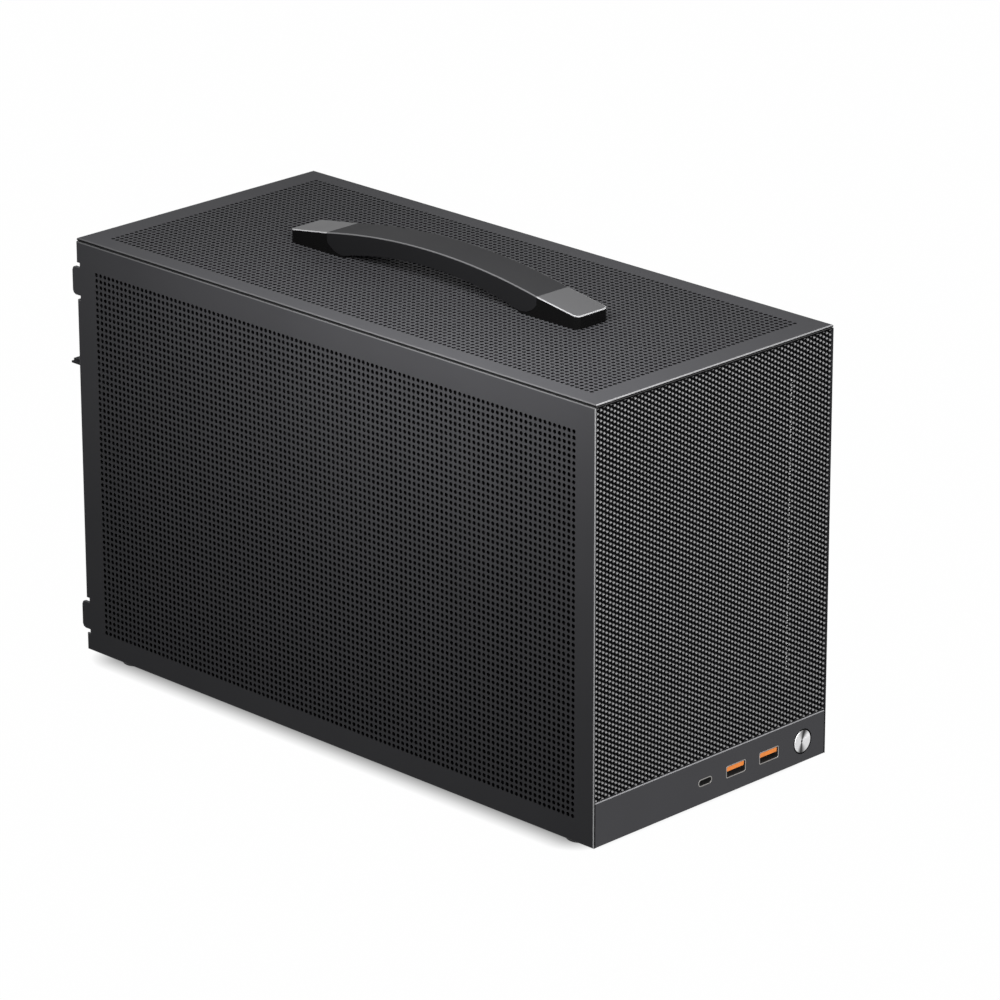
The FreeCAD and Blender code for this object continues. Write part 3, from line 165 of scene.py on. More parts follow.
class CaseButtonSizes(PropertyGroup):
    """Power button."""

    bore: length("Bore", "Radius of the strip's hole for the button", 6.25)
    radius: length("Radius", "Radius of the button", 5.6)
    dish: length("Dish", "Depth of the dished face", 0.475)
    land: length("Land", "Width of the rounded rim", 0.5)
    land_step: length("Land step", "Step from the rounded rim down to the dish", 0.02)
    dimple: length("Dimple", "Radius of the drilled dimple in the middle", 0.6)
    dimple_depth: length("Dimple depth", "Depth of the drilled dimple", 1.5)
    flange: length("Flange", "Thickness of the flange that keeps the button in", 1.2)


class CaseHandleSizes(PropertyGroup):
    """Arched handle."""

    cap_length: length("Cap length", "End of the handle to the joint with the grip", 26.0)
    cap_end: length("Cap end height", "Cover to the top of a cap at its end", 6.4)
    cap_step: length("Cap step height", "Cover to the lower end of the joint", 6.0)
    cap_toe: length("Cap toe", "How far a cap reaches under the grip", 12.0)
    cap_toe_height: length("Cap toe height", "Thickness of a cap's toe at its tip", 1.2)
    saddle: length("Saddle", "Depth of the hollow that a grip end lies in", 1.8)
    grip_rise: length("Grip rise", "Height of the grip's arch over its ends", 6.7)
    under_rise: length("Under rise", "Height of the hollow under the grip", 7.3)
    gap: length("Gap", "Gap between grip and caps", 0.1)
    widen: length("Widening", "How far each side of the handle stands past its nodes", 0.5)
    corner: length("Corner", "Radius of a cap's upright corners", 3.0)
    cap_edge: length("Cap edge", "Rounding of a cap's top edges", 0.45)
    grip_edge: length("Grip edge", "Rounding of the grip's top edges", 0.5)


class CaseColours(PropertyGroup):
    """Colours of the finishes."""

    powder: colour("Powder coat", "Satin black powder coat on steel", "#3c3c3e")
    # Sheet edges: lighter than the coat as a painted highlight.
    edge: colour("Sheet edges", "Powder coat worn thin along folded edges", "#4e4e4f")
    # Front edges: colour of a painted highlight along the sheets' front edges.
    front_edge: colour("Front edges", "Powder coat rubbed down along the front edges", "#848485")
    chamfer: colour("Chamfer", "Bare metal of the strip's cut chamfer", "#8c8c8e")
    warp: colour("Warp", "Grey coated wire that stands out of the weave", "#969697")
    # Weft: near black as painted shade, for the level wires and the dips of the upright wires.
    weft: colour("Weft", "Black coated wire behind it", "#070708")
    # Inside: the powder coat darkened as painted shade inside the case.
    inside: colour("Inside", "Coated chassis steel", "#1b1b1c")
    # Hole walls: near black as painted shade inside the holes.
    hole: colour("Hole walls", "Thin powder in punched holes", "#0a0a0b")
    cap: colour("Caps", "Glossy plastic of the handle caps", "#090909")
    # Grip sides and top: one plastic, painted darker on the sides and lighter on the top for shade and
    # light.
    grip: colour("Grip", "Soft plastic of the grip's sides", "#161617")
    grip_top: colour("Grip top", "Soft plastic of the grip's top, matted by hands", "#29292a")
    # Cap tops: the caps' plastic painted lighter as light from above.
    cap_top: colour("Cap tops", "Satin tops of the handle caps", "#474748")
    # Cap edges: colour of a painted highlight.
    buffed: colour("Cap edges", "Cap edges buffed by handling", "#8f8f90")
    # Grip edges: colour of a painted highlight.
    rubbed: colour("Grip edges", "Grip edges rubbed smooth", "#4c4c4d")
    aluminium: colour("Button", "Turned aluminium", "#dadadb")
    plate: colour("Port shells", "Nickel on steel", "#8c8a88")
    orange: colour("Tongues", "Orange plastic in the wide ports", "#cf731b")
    black: colour("Black plastic", "Moulded nylon", "#161616")
    brass: colour("Brass", "Turned brass", "#b8924a")
    screw: colour("Screws", "Blackened steel", "#3b3b3d")
    board: colour("Board", "Solder mask of the port board", "#15261c")
    rubber: colour("Feet", "Rubber", "#1c1c1c")
    floor: colour("Floor", "Grey floor under its white glow", "#4e4e4e")


class CaseStage(PropertyGroup):
    """Camera and light."""

    lens: level("Lens", "Focal length in millimetres", 195.68, "CAMERA")
    camera: FloatVectorProperty(name="Camera", description="Place of the camera", size=3, unit="LENGTH",
                                subtype="TRANSLATION", default=(-1.7069, -1.7378, 1.0077))
    turn: FloatVectorProperty(name="Turn", description="Camera angles", size=3, subtype="EULER",
                              default=(math.radians(69.691), math.radians(0.07), math.radians(-45.2)))
    roof: level("Roof light", "Power of the overhead light in watts", 1.0, "POWER")
    side: level("Side light", "Power of the left light in watts", 2.7, "POWER")
    front: level("Front light", "Power of the front light in watts", 18.5, "POWER")
    back: level("Back light", "Power of the back left light in watts", 1.5, "POWER")
    right: level("Right light", "Power of the right light in watts", 1.5, "POWER")
    fill: level("Fill lights", "Power of each light behind and to the right in watts", 20.0, "POWER")
    ambient: level("Ambient", "Strength of the light from all round", 0.03)


# Finishes

def add(tree, kind, inputs=None, **settings):
    """Add a node, set its properties, and fill or link its inputs."""
    made = tree.nodes.new(kind)
    for key, value in settings.items():
        setattr(made, key, value)
    for key, value in (inputs or {}).items():
        if isinstance(value, bpy.types.NodeSocket):
            tree.links.new(value, made.inputs[key])
        else:
            made.inputs[key].default_value = value
    return made


def grain(tree, size):
    """Noise whose spots are about a given size across, fixed to the piece."""
    place = add(tree, "ShaderNodeTexCoord")
    return add(tree, "ShaderNodeTexNoise", {"Vector": place.outputs["Object"], "Scale": 1 / size,
                                            "Detail": 2.0, "Roughness": 0.55})


def spread(tree, value, low, high):
    """Map a noise value to a range."""
    return add(tree, "ShaderNodeMapRange", {"Value": value, "From Min": 0.3, "From Max": 0.7,
                                            "To Min": low, "To Max": high}).outputs["Result"]


def shade(tree, inputs):
    """Principled surface on the material's output."""
    surface = add(tree, "ShaderNodeBsdfPrincipled", inputs)
    add(tree, "ShaderNodeOutputMaterial", {"Surface": surface.outputs["BSDF"]})


def maths(tree, operation, *values, clamp=False):
    """Result of a maths node."""
    inputs = dict(enumerate(values))
    return add(tree, "ShaderNodeMath", inputs, operation=operation, use_clamp=clamp).outputs[0]


def blend(tree, factor, first, second):
    """Colour between two colours."""
    inputs = {"Factor": factor, "A": (*first, 1), "B": (*second, 1)}
    return add(tree, "ShaderNodeMix", inputs, data_type="RGBA").outputs["Result"]


def tint(tree, base, amount, factor):
    """Base colour that drifts a little darker and lighter with a noise value."""
    dark = tuple(c * (1 - amount) for c in base)
    light = tuple(min(1.0, c * (1 + amount)) for c in base)
    return blend(tree, factor, dark, light)


def rough_coat(tree, base, peel, depth, rough, drift, gloss=0.5):
    """Coat with fine peel of a size and depth in millimetres, patchy gloss and a slight drift of colour."""
    height = grain(tree, peel * MM).outputs[0]
    value = grain(tree, PATCH).outputs[0]
    bump = add(tree, "ShaderNodeBump", {"Height": height, "Distance": depth * MM, "Strength": 1.0})
    shade(tree, {"Base Color": tint(tree, base, drift, value), "Roughness": spread(tree, value, *rough),
                 "Normal": bump.outputs["Normal"], "IOR": 1.5, "Specular IOR Level": gloss})


def clouded(tree, base, cloud, rough, drift, **more):
    """Smooth surface whose colour and gloss drift in clouds of a size in millimetres."""
    value = grain(tree, cloud * MM).outputs[0]
    shade(tree, {"Base Color": tint(tree, base, drift, value), "Roughness": spread(tree, value, *rough),
                 **more})


def powder_coated_steel(tree, colours):
    # Powder baked on steel: satin, with an orange peel about a millimetre across.
    rough_coat(tree, colours.powder, peel=1.2, depth=0.02, rough=(0.44, 0.52), drift=0.08, gloss=DULL)


def coated_chassis_steel(tree, colours):
    # The same powder inside the case, thinner and a little duller; its darker colour is painted shade inside
    # the case.
    rough_coat(tree, colours.inside, peel=1.2, depth=0.02, rough=(0.50, 0.60), drift=0.08, gloss=DULL)


def punched_wall(tree, colours):
    # Walls of punched holes: powder lies thin and rough there, so they stay dull; their near-black colour is
    # painted shade inside the holes.
    rough_coat(tree, colours.hole, peel=0.6, depth=0.01, rough=(0.65, 0.75), drift=0.10, gloss=DULL)


def thin_coat_edge(tree, colours):
    # Powder pulled thin along an edge, smoother than the faces beside it; its lighter colour is a painted
    # highlight along the edge.
    rough_coat(tree, colours.edge, peel=0.8, depth=0.005, rough=(0.34, 0.42), drift=0.06, gloss=0.08)


def rubbed_front_edge(tree, colours):
    # Front edge of a sheet, coloured light: a painted highlight that draws a light line along it.
    rough_coat(tree, colours.front_edge, peel=0.8, depth=0.005, rough=(0.34, 0.42), drift=0.06, gloss=0.08)


def cut_chamfer(tree, colours):
    # Chamfer cut after coating: bare metal that draws one bright line along the strip.
    clouded(tree, colours.chamfer, cloud=2.0, rough=(0.26, 0.34), drift=0.05, Metallic=1.0)


def grey_coated_wire(tree, colours):
    # Upright wire with a satin coat, pale grey on its crests and blending to black towards its dips: painted
    # shade down each dip, so each knuckle over a crossing shows as a bead.
    place = add(tree, "ShaderNodeTexCoord")
    parts = add(tree, "ShaderNodeSeparateXYZ", {0: place.outputs["Object"]})
    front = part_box("front_mesh")[0].y
    crest, dip = front + 0.1 * MM, front + 0.85 * MM
    # How far down towards the dip a point lies: the share of painted shade there.
    deep = add(tree, "ShaderNodeMapRange", {"Value": parts.outputs["Y"], "From Min": crest, "From Max": dip})
    marks = grain(tree, 0.8 * MM)
    shade(tree, {"Base Color": blend(tree, deep.outputs["Result"], colours.warp, colours.weft), "IOR": 1.5,
                 "Roughness": spread(tree, marks.outputs[0], 0.36, 0.44), "Specular IOR Level": 0.3})


def black_coated_wire(tree, colours):
    # Level wire coloured near black with a dull coat: painted shade, so the weave stays dark between the
    # knuckles.
    rough_coat(tree, colours.weft, peel=0.5, depth=0.008, rough=(0.50, 0.60), drift=0.10, gloss=DULL)


def gloss_abs(tree, colours):
    # Moulded ABS from a polished tool: deep black with clear reflections and faint haze.
    faint = {"Specular IOR Level": 0.1}
    clouded(tree, colours.cap, cloud=14, rough=(0.16, 0.22), drift=0.06, IOR=1.54, **faint)


def satin_abs(tree, colours):
    # Top of a cap, moulded against a blasted tool for a satin sheen; its even grey, lighter than the black
    # sides, is painted light from above, between the bright edges.
    rough_coat(tree, colours.cap_top, peel=0.6, depth=0.01, rough=(0.36, 0.44), drift=0.06, gloss=0.06)


def buffed_abs(tree, colours):
    # Cap edges: pale lines round the dark caps, a painted highlight along each edge.
    clouded(tree, colours.buffed, cloud=6, rough=(0.22, 0.30), drift=0.08, IOR=1.54)


def soft_touch_plastic(tree, colours):
    # Soft-touch moulding: matte with a fine pebble, drawn at 0.7 mm so that it shows; the grip's sides are
    # painted a shade darker than its top, as shade.
    rough_coat(tree, colours.grip, peel=0.7, depth=0.02, rough=(0.52, 0.62), drift=0.06, gloss=DULL)


def matted_soft_plastic(tree, colours):
    # Top of the soft-touch moulding: the same plastic as its sides, a shade lighter as painted light from
    # above.
    rough_coat(tree, colours.grip_top, peel=0.7, depth=0.02, rough=(0.52, 0.62), drift=0.06, gloss=DULL)


def rubbed_soft_plastic(tree, colours):
    # Edge of the soft-touch moulding, smoother than its faces; the thin lighter line along the grip is a
    # painted highlight.
    rough_coat(tree, colours.rubbed, peel=0.7, depth=0.005, rough=(0.36, 0.46), drift=0.08)


def lathe_turned_aluminium(tree, colours):
    # Face turned on a lathe: fine rings, so light fans out from the middle. The two dark wedges across it
    # are painted reflection: the base colour darkens by angle round the middle.
    # Tilt, sharpness and darkness of the painted dark wedges of reflection.
    tilt, sharpness, shadow = math.radians(78), 7.0, 0.04
    x, z = centre_of("power_button")
    place = add(tree, "ShaderNodeTexCoord")
    parts = add(tree, "ShaderNodeSeparateXYZ", {0: place.outputs["Object"]})
    right = maths(tree, "SUBTRACT", parts.outputs["X"], x)
    up = maths(tree, "SUBTRACT", parts.outputs["Z"], z)
    turn = maths(tree, "SUBTRACT", maths(tree, "ARCTAN2", up, right), tilt)
    lobe = maths(tree, "ABSOLUTE", maths(tree, "COSINE", turn))
    # Share of the painted dark reflection at each angle round the middle.
    painted_wedge = maths(tree, "POWER", lobe, sharpness)
    dark = tuple(c * shadow for c in colours.aluminium)
    tangent = add(tree, "ShaderNodeTangent", direction_type="RADIAL", axis="Y")
    streaks = grain(tree, 0.9 * MM)
    shade(tree, {"Base Color": blend(tree, painted_wedge, colours.aluminium, dark), "Metallic": 1.0,
                 "Roughness": spread(tree, streaks.outputs[0], 0.22, 0.30), "Anisotropic": 0.85,
                 "Tangent": tangent.outputs["Tangent"]})


def nickel_plate(tree, colours):
    # Drawn steel shell with bright nickel, dulled by handling.
    clouded(tree, colours.plate, cloud=1.5, rough=(0.28, 0.42), drift=0.08, Metallic=1.0)


def orange_pbt(tree, colours):
    # Moulded PBT tongue: even orange with a soft sheen.
    clouded(tree, colours.orange, cloud=2.5, rough=(0.34, 0.42), drift=0.10, IOR=1.55)


def black_nylon(tree, colours):
    # Glass-filled nylon: matte black with a fine spark-eroded grain, drawn at 0.6 mm so that it shows.
    rough_coat(tree, colours.black, peel=0.6, depth=0.02, rough=(0.48, 0.58), drift=0.10)


def turned_brass(tree, colours):
    # Bar turned to size: warm metal with fine turning marks.
    clouded(tree, colours.brass, cloud=0.8, rough=(0.25, 0.38), drift=0.08, Metallic=1.0)


def blackened_steel(tree, colours):
    # Black-oxide screws: dark metal with an oily sheen.
    clouded(tree, colours.screw, cloud=1.0, rough=(0.32, 0.45), drift=0.12, Metallic=1.0)


def solder_mask(tree, colours):
    # Epoxy board under solder mask: dark green, slightly glossy.
    clouded(tree, colours.board, cloud=3.0, rough=(0.30, 0.40), drift=0.15, IOR=1.5)


def pressed_rubber(tree, colours):
    # Pressed rubber: deep matte with a faint bloom.
    rough_coat(tree, colours.rubber, peel=0.8, depth=0.03, rough=(0.70, 0.82), drift=0.12)


def cleared(data):
    """Empty node tree of a new material or world."""
    data.use_nodes = True
    data.node_tree.nodes.clear()
    return data.node_tree


FINISHES = {}
# Coat, edges with painted highlight, hole walls with painted shade, front edges with a brighter painted
# highlight.
SHEET_FINISHES = (powder_coated_steel, thin_coat_edge, punched_wall, rubbed_front_edge)


def finish(maker):
    """Material of a finish, made once; the frame's plain materials are never taken for it."""
    if maker not in FINISHES:
        material = bpy.data.materials.new(maker.__name__)
        maker(cleared(material), bpy.context.scene.case_colours)
        FINISHES[maker] = material
    return FINISHES[maker]


# Mesh helpers

def verts_in(geom):
    """Vertices among an operator's results."""
    return [g for g in geom if isinstance(g, bmesh.types.BMVert)]


def everything(bm):
    """All of a mesh, as the operators take it."""
    return bm.verts[:] + bm.edges[:] + bm.faces[:]


def edges_of(verts):
    """Edges that meet the vertices."""
    return list({edge for vert in verts for edge in vert.link_edges})


def repeat(bm, geom, step, copies):
    """Copy geometry along a step."""
    for i in range(1, copies):
        copy = bmesh.ops.duplicate(bm, geom=geom)["geom"]
        bmesh.ops.translate(bm, vec=Vector(step) * i, verts=verts_in(copy))


def absorb(bm, other):
    """Move another mesh into this one."""
    mesh = bpy.data.meshes.new("moved")
    other.to_mesh(mesh)
    other.free()
    bm.from_mesh(mesh)
    bpy.data.meshes.remove(mesh)


def move(bm, step):
    """Move a whole mesh."""
    bmesh.ops.translate(bm, vec=step, verts=bm.verts)


def weld(bm):
    """Merge vertices that lie on each other."""
    bmesh.ops.remove_doubles(bm, verts=bm.verts, dist=0.002 * MM)


def chain(bm, points):
    """Closed chain of edges through a few points of the XY plane."""
    verts = [bm.verts.new((u, v, 0)) for u, v in points]
    return [bm.edges.new((a, b)) for a, b in zip(verts, verts[1:] + verts[:1])]


def rounded(bm, centre, width, height, corner, segments=CORNER_STEPS):
    """Closed chain of edges round a rectangle with round corners, drawn as a circle pulled apart."""
    turn = Matrix.Rotation(math.pi / segments, 4, "Z")
    made = bmesh.ops.create_circle(bm, cap_ends=False, segments=segments, radius=corner, matrix=turn)
    for vert in made["verts"]:
        vert.co.x += math.copysign(width / 2 - corner, vert.co.x) + centre[0]
        vert.co.y += math.copysign(height / 2 - corner, vert.co.y) + centre[1]
    return edges_of(made["verts"])


def round_edges(bm, edges, offset, segments=2, finish_number=0):
    """Bevel edges to a round, which may have a finish of its own."""
    made = bmesh.ops.bevel(bm, geom=edges, offset=offset, offset_type="OFFSET", affect="EDGES",
                           segments=segments, profile=0.5, material=-1, clamp_overlap=True)
    for face in made["faces"]:
        face.material_index = finish_number


def thicken(bm, depth):
    """Give a flat sheet its thickness, away from its outer face."""
    back = bmesh.ops.extrude_face_region(bm, geom=bm.faces[:])["geom"]
    bmesh.ops.translate(bm, vec=(0, 0, -depth), verts=verts_in(back))
    bmesh.ops.recalc_face_normals(bm, faces=bm.faces)


def hoop(low, high, width, depth):
    """Flat rectangular ring between two corners of the XY plane, with its thickness."""
    bm = bmesh.new()
    chain(bm, [low, (high[0], low[1]), high, (low[0], high[1])])
    face = bmesh.ops.contextual_create(bm, geom=bm.edges[:])["faces"]
    bmesh.ops.inset_region(bm, faces=face, thickness=width, use_boundary=True, use_even_offset=True)
    bmesh.ops.delete(bm, geom=face, context="FACES")
    thicken(bm, depth)
    return bm


def front_rim(bm):
    """Edges of a sheet's outer face that border a wall."""
    return [e for e in bm.edges if all(abs(v.co.z) < NEAR for v in e.verts)
            and any(abs(f.normal.z) < STEEP for f in e.link_faces)]


def outline_edges(bm, corners):
    """Edges between an outline's corners where two faces meet at an angle."""
    return [e for e in bm.edges if e.verts[0] in corners and e.verts[1] in corners
            and len({f.normal.to_tuple(2) for f in e.link_faces}) == 2]


def turned(profile, axis, steps):
    """Solid turned on a lathe from pairs of a radius and a distance along the axis."""
    bm = bmesh.new()
    verts = [bm.verts.new(Vector((radius, 0, 0)) + Vector(axis) * along) for radius, along in profile]
    for a, b in zip(verts, verts[1:]):
        bm.edges.new((a, b))
    bmesh.ops.spin(bm, geom=everything(bm), cent=(0, 0, 0), axis=axis, dvec=(0, 0, 0), angle=math.tau,
                   steps=steps, use_merge=True, use_duplicate=False)
    weld(bm)
    bmesh.ops.recalc_face_normals(bm, faces=bm.faces)
    return bm


def lay(bm, right, up, origin):
    """Lay a sheet's X and Y along two directions, its outer face away from the case."""
    right, up = Vector(right), Vector(up)
    turn = Matrix((right, up, right.cross(up))).transposed().to_4x4()
    bmesh.ops.transform(bm, matrix=Matrix.Translation(origin) @ turn, verts=bm.verts)


def add_block(bm, low, high):
    """Box between two corners; returns its vertices."""
    low, high = Vector(low), Vector(high)
    place = Matrix.Translation((low + high) / 2) @ Matrix.Diagonal((*(high - low), 1))
    return bmesh.ops.create_cube(bm, size=1.0, matrix=place)["verts"]


def piece(name, bm, makers, body, nodes=(), smooth=None, flat=False):
    """Object on a body in place of CAD nodes; smooth is an angle in degrees, flat keeps large faces flat."""
    mesh = bpy.data.meshes.new(name)
    bm.to_mesh(mesh)
    bm.free()
    for maker in makers:
        mesh.materials.append(finish(maker))
    if smooth is not None:
        mesh.shade_smooth()
        mesh.set_sharp_from_angle(angle=math.radians(smooth))
    obj = bpy.data.objects.new(name, mesh)
    bpy.context.scene.collection.objects.link(obj)
    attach(obj, body)
    if nodes:
        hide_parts(*nodes)
    if flat:
        obj.modifiers.new("flat_faces", "WEIGHTED_NORMAL").keep_sharp = True


def coat(maker, *nodes):
    """Give CAD nodes a finish."""
    for name in nodes:
        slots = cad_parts[name].data.materials
        slots.clear()
        slots.append(finish(maker))


# Perforated sheets

def perforate(bm, first, columns, rows, pitch, hole):
    """Sheet between six-sided holes on a square grid; the outer holes keep loose edges for the border."""
    flat = hole * math.sqrt(3) / 2
    bridge = [(flat, -hole / 2), (pitch - flat, -hole / 2), (pitch - flat, hole / 2), (flat, hole / 2)]
    web = [(0, hole), (flat, hole / 2), (pitch - flat, hole / 2), (pitch, hole), (pitch, pitch - hole),
           (pitch - flat, pitch - hole / 2), (flat, pitch - hole / 2), (0, pitch - hole)]
    for points in (bridge, web):
        bm.faces.new([bm.verts.new((u, v, 0)) for u, v in points])
    repeat(bm, everything(bm), (pitch, 0, 0), columns - 1)
    repeat(bm, everything(bm), (0, pitch, 0), rows - 1)
    field = set(bm.verts)
    bmesh.ops.create_circle(bm, cap_ends=False, segments=6, radius=hole)
    for step, copies in (((pitch, 0, 0), columns), ((0, pitch, 0), rows)):
        rings = [v for v in bm.verts if v not in field]
        repeat(bm, rings + edges_of(rings), step, copies)
    weld(bm)
    border = []
    for edge in bm.edges:
        middle = (edge.verts[0].co + edge.verts[1].co) / 2
        off = Vector([c - round(c / pitch) * pitch for c in middle.to_2d()])
        if edge.is_wire or (edge.is_boundary and off.length > hole):
            border.append(edge)
    move(bm, (*first, 0))
    return border


def perforated_plate(outline, first, columns, rows, sizes, edge, front):
    """Perforated sheet with a plain border, its outer rim rounded with a painted highlight, its hole walls
    painted dark as shade and its front rim painted with a brighter highlight.
    """
    bm = bmesh.new()
    border = perforate(bm, first, columns, rows, sizes.pitch, sizes.hole)
    rim = chain(bm, outline)
    corners = {vert for e in rim for vert in e.verts}
    bmesh.ops.triangle_fill(bm, edges=border + rim, use_beauty=True, use_dissolve=False, normal=(0, 0, 1))
    thicken(bm, sizes.sheet)
    outer = outline_edges(bm, corners)
    # Hole walls take the painted shade.
    for face in bm.faces:
        if abs(face.normal.z) < STEEP and not all(v in corners for v in face.verts):
            face.material_index = THIRD
    # The rounded outer rim takes the painted edge highlight.
    round_edges(bm, outer, edge, finish_number=SECOND)
    bm.normal_update()
    # Faces towards the front take the painted highlight of the front edge.
    for face in bm.faces:
        if face.material_index < THIRD and face.normal.dot(Vector(front)) > HIGHLIGHT_FACING:
            face.material_index = FOURTH
    return bm


class CASE_OT_side_panels(Operator):
    """Build the two perforated side panels with their folded rear edges"""

    bl_idname = "pc_case.side_panels"
    bl_label = "Side panels"

    def execute(self, context):
        sizes = context.scene.case_sheets
        low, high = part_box("right_panel")
        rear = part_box("top_cover")[1].y - low.y
        tall = high.z - low.z
        ear = high.y - low.y
        notch = sizes.ear_notch
        outline = [(0, 0), (rear, 0)]
        soft = sizes.ear_corner
        keep = soft * sizes.ear_cut
        for start in (sizes.ear_low, tall - sizes.ear_high - sizes.ear_height):
            end = start + sizes.ear_height
            outline += [(rear, start - notch), (rear - notch, start - notch), (rear - notch, start),
                        (ear - soft, start), (ear - keep, start + keep), (ear, start + soft),
                        (ear, end - soft), (ear - keep, end - keep), (ear - soft, end),
                        (rear - notch, end), (rear - notch, end + notch), (rear, end + notch)]
        outline += [(rear, tall), (0, tall)]
        first = (sizes.side_from_front, sizes.side_from_bottom)
        bm = perforated_plate(outline, first, sizes.side_columns, sizes.side_rows, sizes, sizes.edge,
                              (-1, 0, 0))
        lay(bm, (0, 1, 0), (0, 0, 1), (high.x, low.y, low.z))
        ear_end = sizes.ear_high + sizes.ear_height + notch
        lip = add_block(bm, (low.x, low.y + rear - sizes.sheet, low.z + ear_end),
                        (high.x - sizes.sheet, low.y + rear, high.z - ear_end))
        inner = [e for e in edges_of(lip) if all(v.co.x < low.x + NEAR for v in e.verts)]
        round_edges(bm, inner, sizes.edge)
        mirrored = bm.copy()
        bmesh.ops.scale(mirrored, vec=(-1, 1, 1), verts=mirrored.verts)
        bmesh.ops.reverse_faces(mirrored, faces=mirrored.faces)
        piece("right_side_sheet", bm, SHEET_FINISHES, "right_panel", ["right_panel"])
        piece("left_side_sheet", mirrored, SHEET_FINISHES, "left_panel", ["left_panel"])
        coat(blackened_steel, "left_panel_studs", "right_panel_studs")
        coat(black_nylon, "left_sockets", "right_sockets")
        return {"FINISHED"}


class CASE_OT_top_cover(Operator):
    """Build the perforated top cover"""

    bl_idname = "pc_case.top_cover"
    bl_label = "Top cover"

    def execute(self, context):
        sizes = context.scene.case_sheets
        low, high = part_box("top_cover")
        wide, deep = high.x - low.x, high.y - low.y
        columns, rows = sizes.top_columns, sizes.top_rows
        first = ((wide - (columns - 1) * sizes.pitch) / 2, (deep - (rows - 1) * sizes.pitch) / 2)
        outline = [(0, 0), (wide, 0), (wide, deep), (0, deep)]
        bm = perforated_plate(outline, first, columns, rows, sizes, sizes.cover_edge, (0, -1, 0))
        lay(bm, (1, 0, 0), (0, 1, 0), (low.x, low.y, high.z))
        piece("top_cover_sheet", bm, SHEET_FINISHES, "case", ["top_cover"])
        inset = Vector((sizes.seal_inset, sizes.seal_inset))
        bm = hoop(low.to_2d() + inset, high.to_2d() - inset, sizes.seal, sizes.seal_height)
        move(bm, (0, 0, low.z))
        piece("cover_seal", bm, (pressed_rubber,), "case")
        return {"FINISHED"}


# Woven front

def wire(bm, radius, flat, travel, swing, wave, pitch, periods, start):
    """Wire that swings over and under each crossing: a square section drawn along in quarter waves."""
    along, aside = Vector(travel), Vector(swing)
    turn = along.to_track_quat("Z", "Y").to_matrix().to_4x4()
    section = bmesh.ops.create_circle(bm, cap_ends=False, segments=4, radius=radius, matrix=turn)["verts"]
    bmesh.ops.scale(bm, vec=(flat, 1, flat), verts=section)
    bmesh.ops.translate(bm, vec=aside * wave, verts=section)
    edges = edges_of(section)
    for quarter in range(4):
        made = bmesh.ops.extrude_edge_only(bm, edges=edges)["geom"]
        edges = [g for g in made if isinstance(g, bmesh.types.BMEdge)]
        rise = math.cos(math.pi * (quarter + 1) / 2) - math.cos(math.pi * quarter / 2)
        bmesh.ops.translate(bm, vec=along * pitch / 2 + aside * wave * rise, verts=verts_in(made))
    repeat(bm, everything(bm), along * pitch * 2, periods)
    move(bm, start)


def weave(radius, flat, travel, across, wave, pitch, spacing, start, crossings, wires):
    """Field of like wires, every second one half a wave along."""
    bm = bmesh.new()
    periods = crossings // 2
    for shift in (0, 1):
        single = bmesh.new()
        sign = -1 if shift else 1
        wire(single, radius, flat, travel, (0, -1, 0), wave * sign, pitch, periods, start)
        move(single, Vector(across) * spacing * shift)
        repeat(single, everything(single), Vector(across) * spacing * 2, (wires + 1 - shift) // 2)
        weld(single)
        absorb(bm, single)
    bmesh.ops.holes_fill(bm, edges=[e for e in bm.edges if e.is_boundary], sides=4)
    bmesh.ops.recalc_face_normals(bm, faces=bm.faces)
    return bm


class CASE_OT_woven_front(Operator):
    """Weave the front panel and fold its rim"""

    bl_idname = "pc_case.woven_front"
    bl_label = "Woven front"

    def execute(self, context):
        sizes = context.scene.case_weave
        low, high = (corner.copy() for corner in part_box("front_mesh"))
        low.x -= sizes.reach
        low.z -= sizes.reach
        high.x += sizes.reach
        rim = sizes.rim
        wide = high.x - low.x - rim * 2
        tall = high.z - low.z - rim * 2
        columns = int(wide / sizes.warp_pitch) + 1
        rows = int(tall / sizes.weft_pitch) // 2 * 2
        first_x = -(columns - 1) * sizes.warp_pitch / 2
        first_z = (low.z + high.z) / 2 - rows * sizes.weft_pitch / 2
        middle = low.y + sizes.setback
        start = (first_x, middle, first_z)
        warp = weave(sizes.warp_wire, sizes.warp_flat, (0, 0, 1), (1, 0, 0), sizes.warp_wave,
                     sizes.weft_pitch, sizes.warp_pitch, start, rows, columns)
        piece("weave_warp", warp, (grey_coated_wire,), "front_panel", ["front_mesh"],
              smooth=80)
        crossings = (columns - 1) // 2 * 2
        weft = weave(sizes.weft_wire, 1.0, (1, 0, 0), (0, 0, 1), -sizes.weft_wave,
                     sizes.warp_pitch, sizes.weft_pitch, start, crossings, rows + 1)
        piece("weave_weft", weft, (black_coated_wire,), "front_panel", smooth=80)
        bm = hoop((low.x, low.z), (high.x, high.z), rim, high.y - middle)
        round_edges(bm, front_rim(bm), rim / 4)
        lay(bm, *SEEN_FROM_FRONT, (0, middle, 0))
        piece("weave_rim", bm, (powder_coated_steel,), "front_panel")
        coat(blackened_steel, "front_mesh_studs")
        coat(black_nylon, "front_sockets")
        return {"FINISHED"}


# Port strip

def centre_of(node):
    """Middle of a CAD node seen from the front."""
    low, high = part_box(node)
    return (low.x + high.x) / 2, (low.z + high.z) / 2


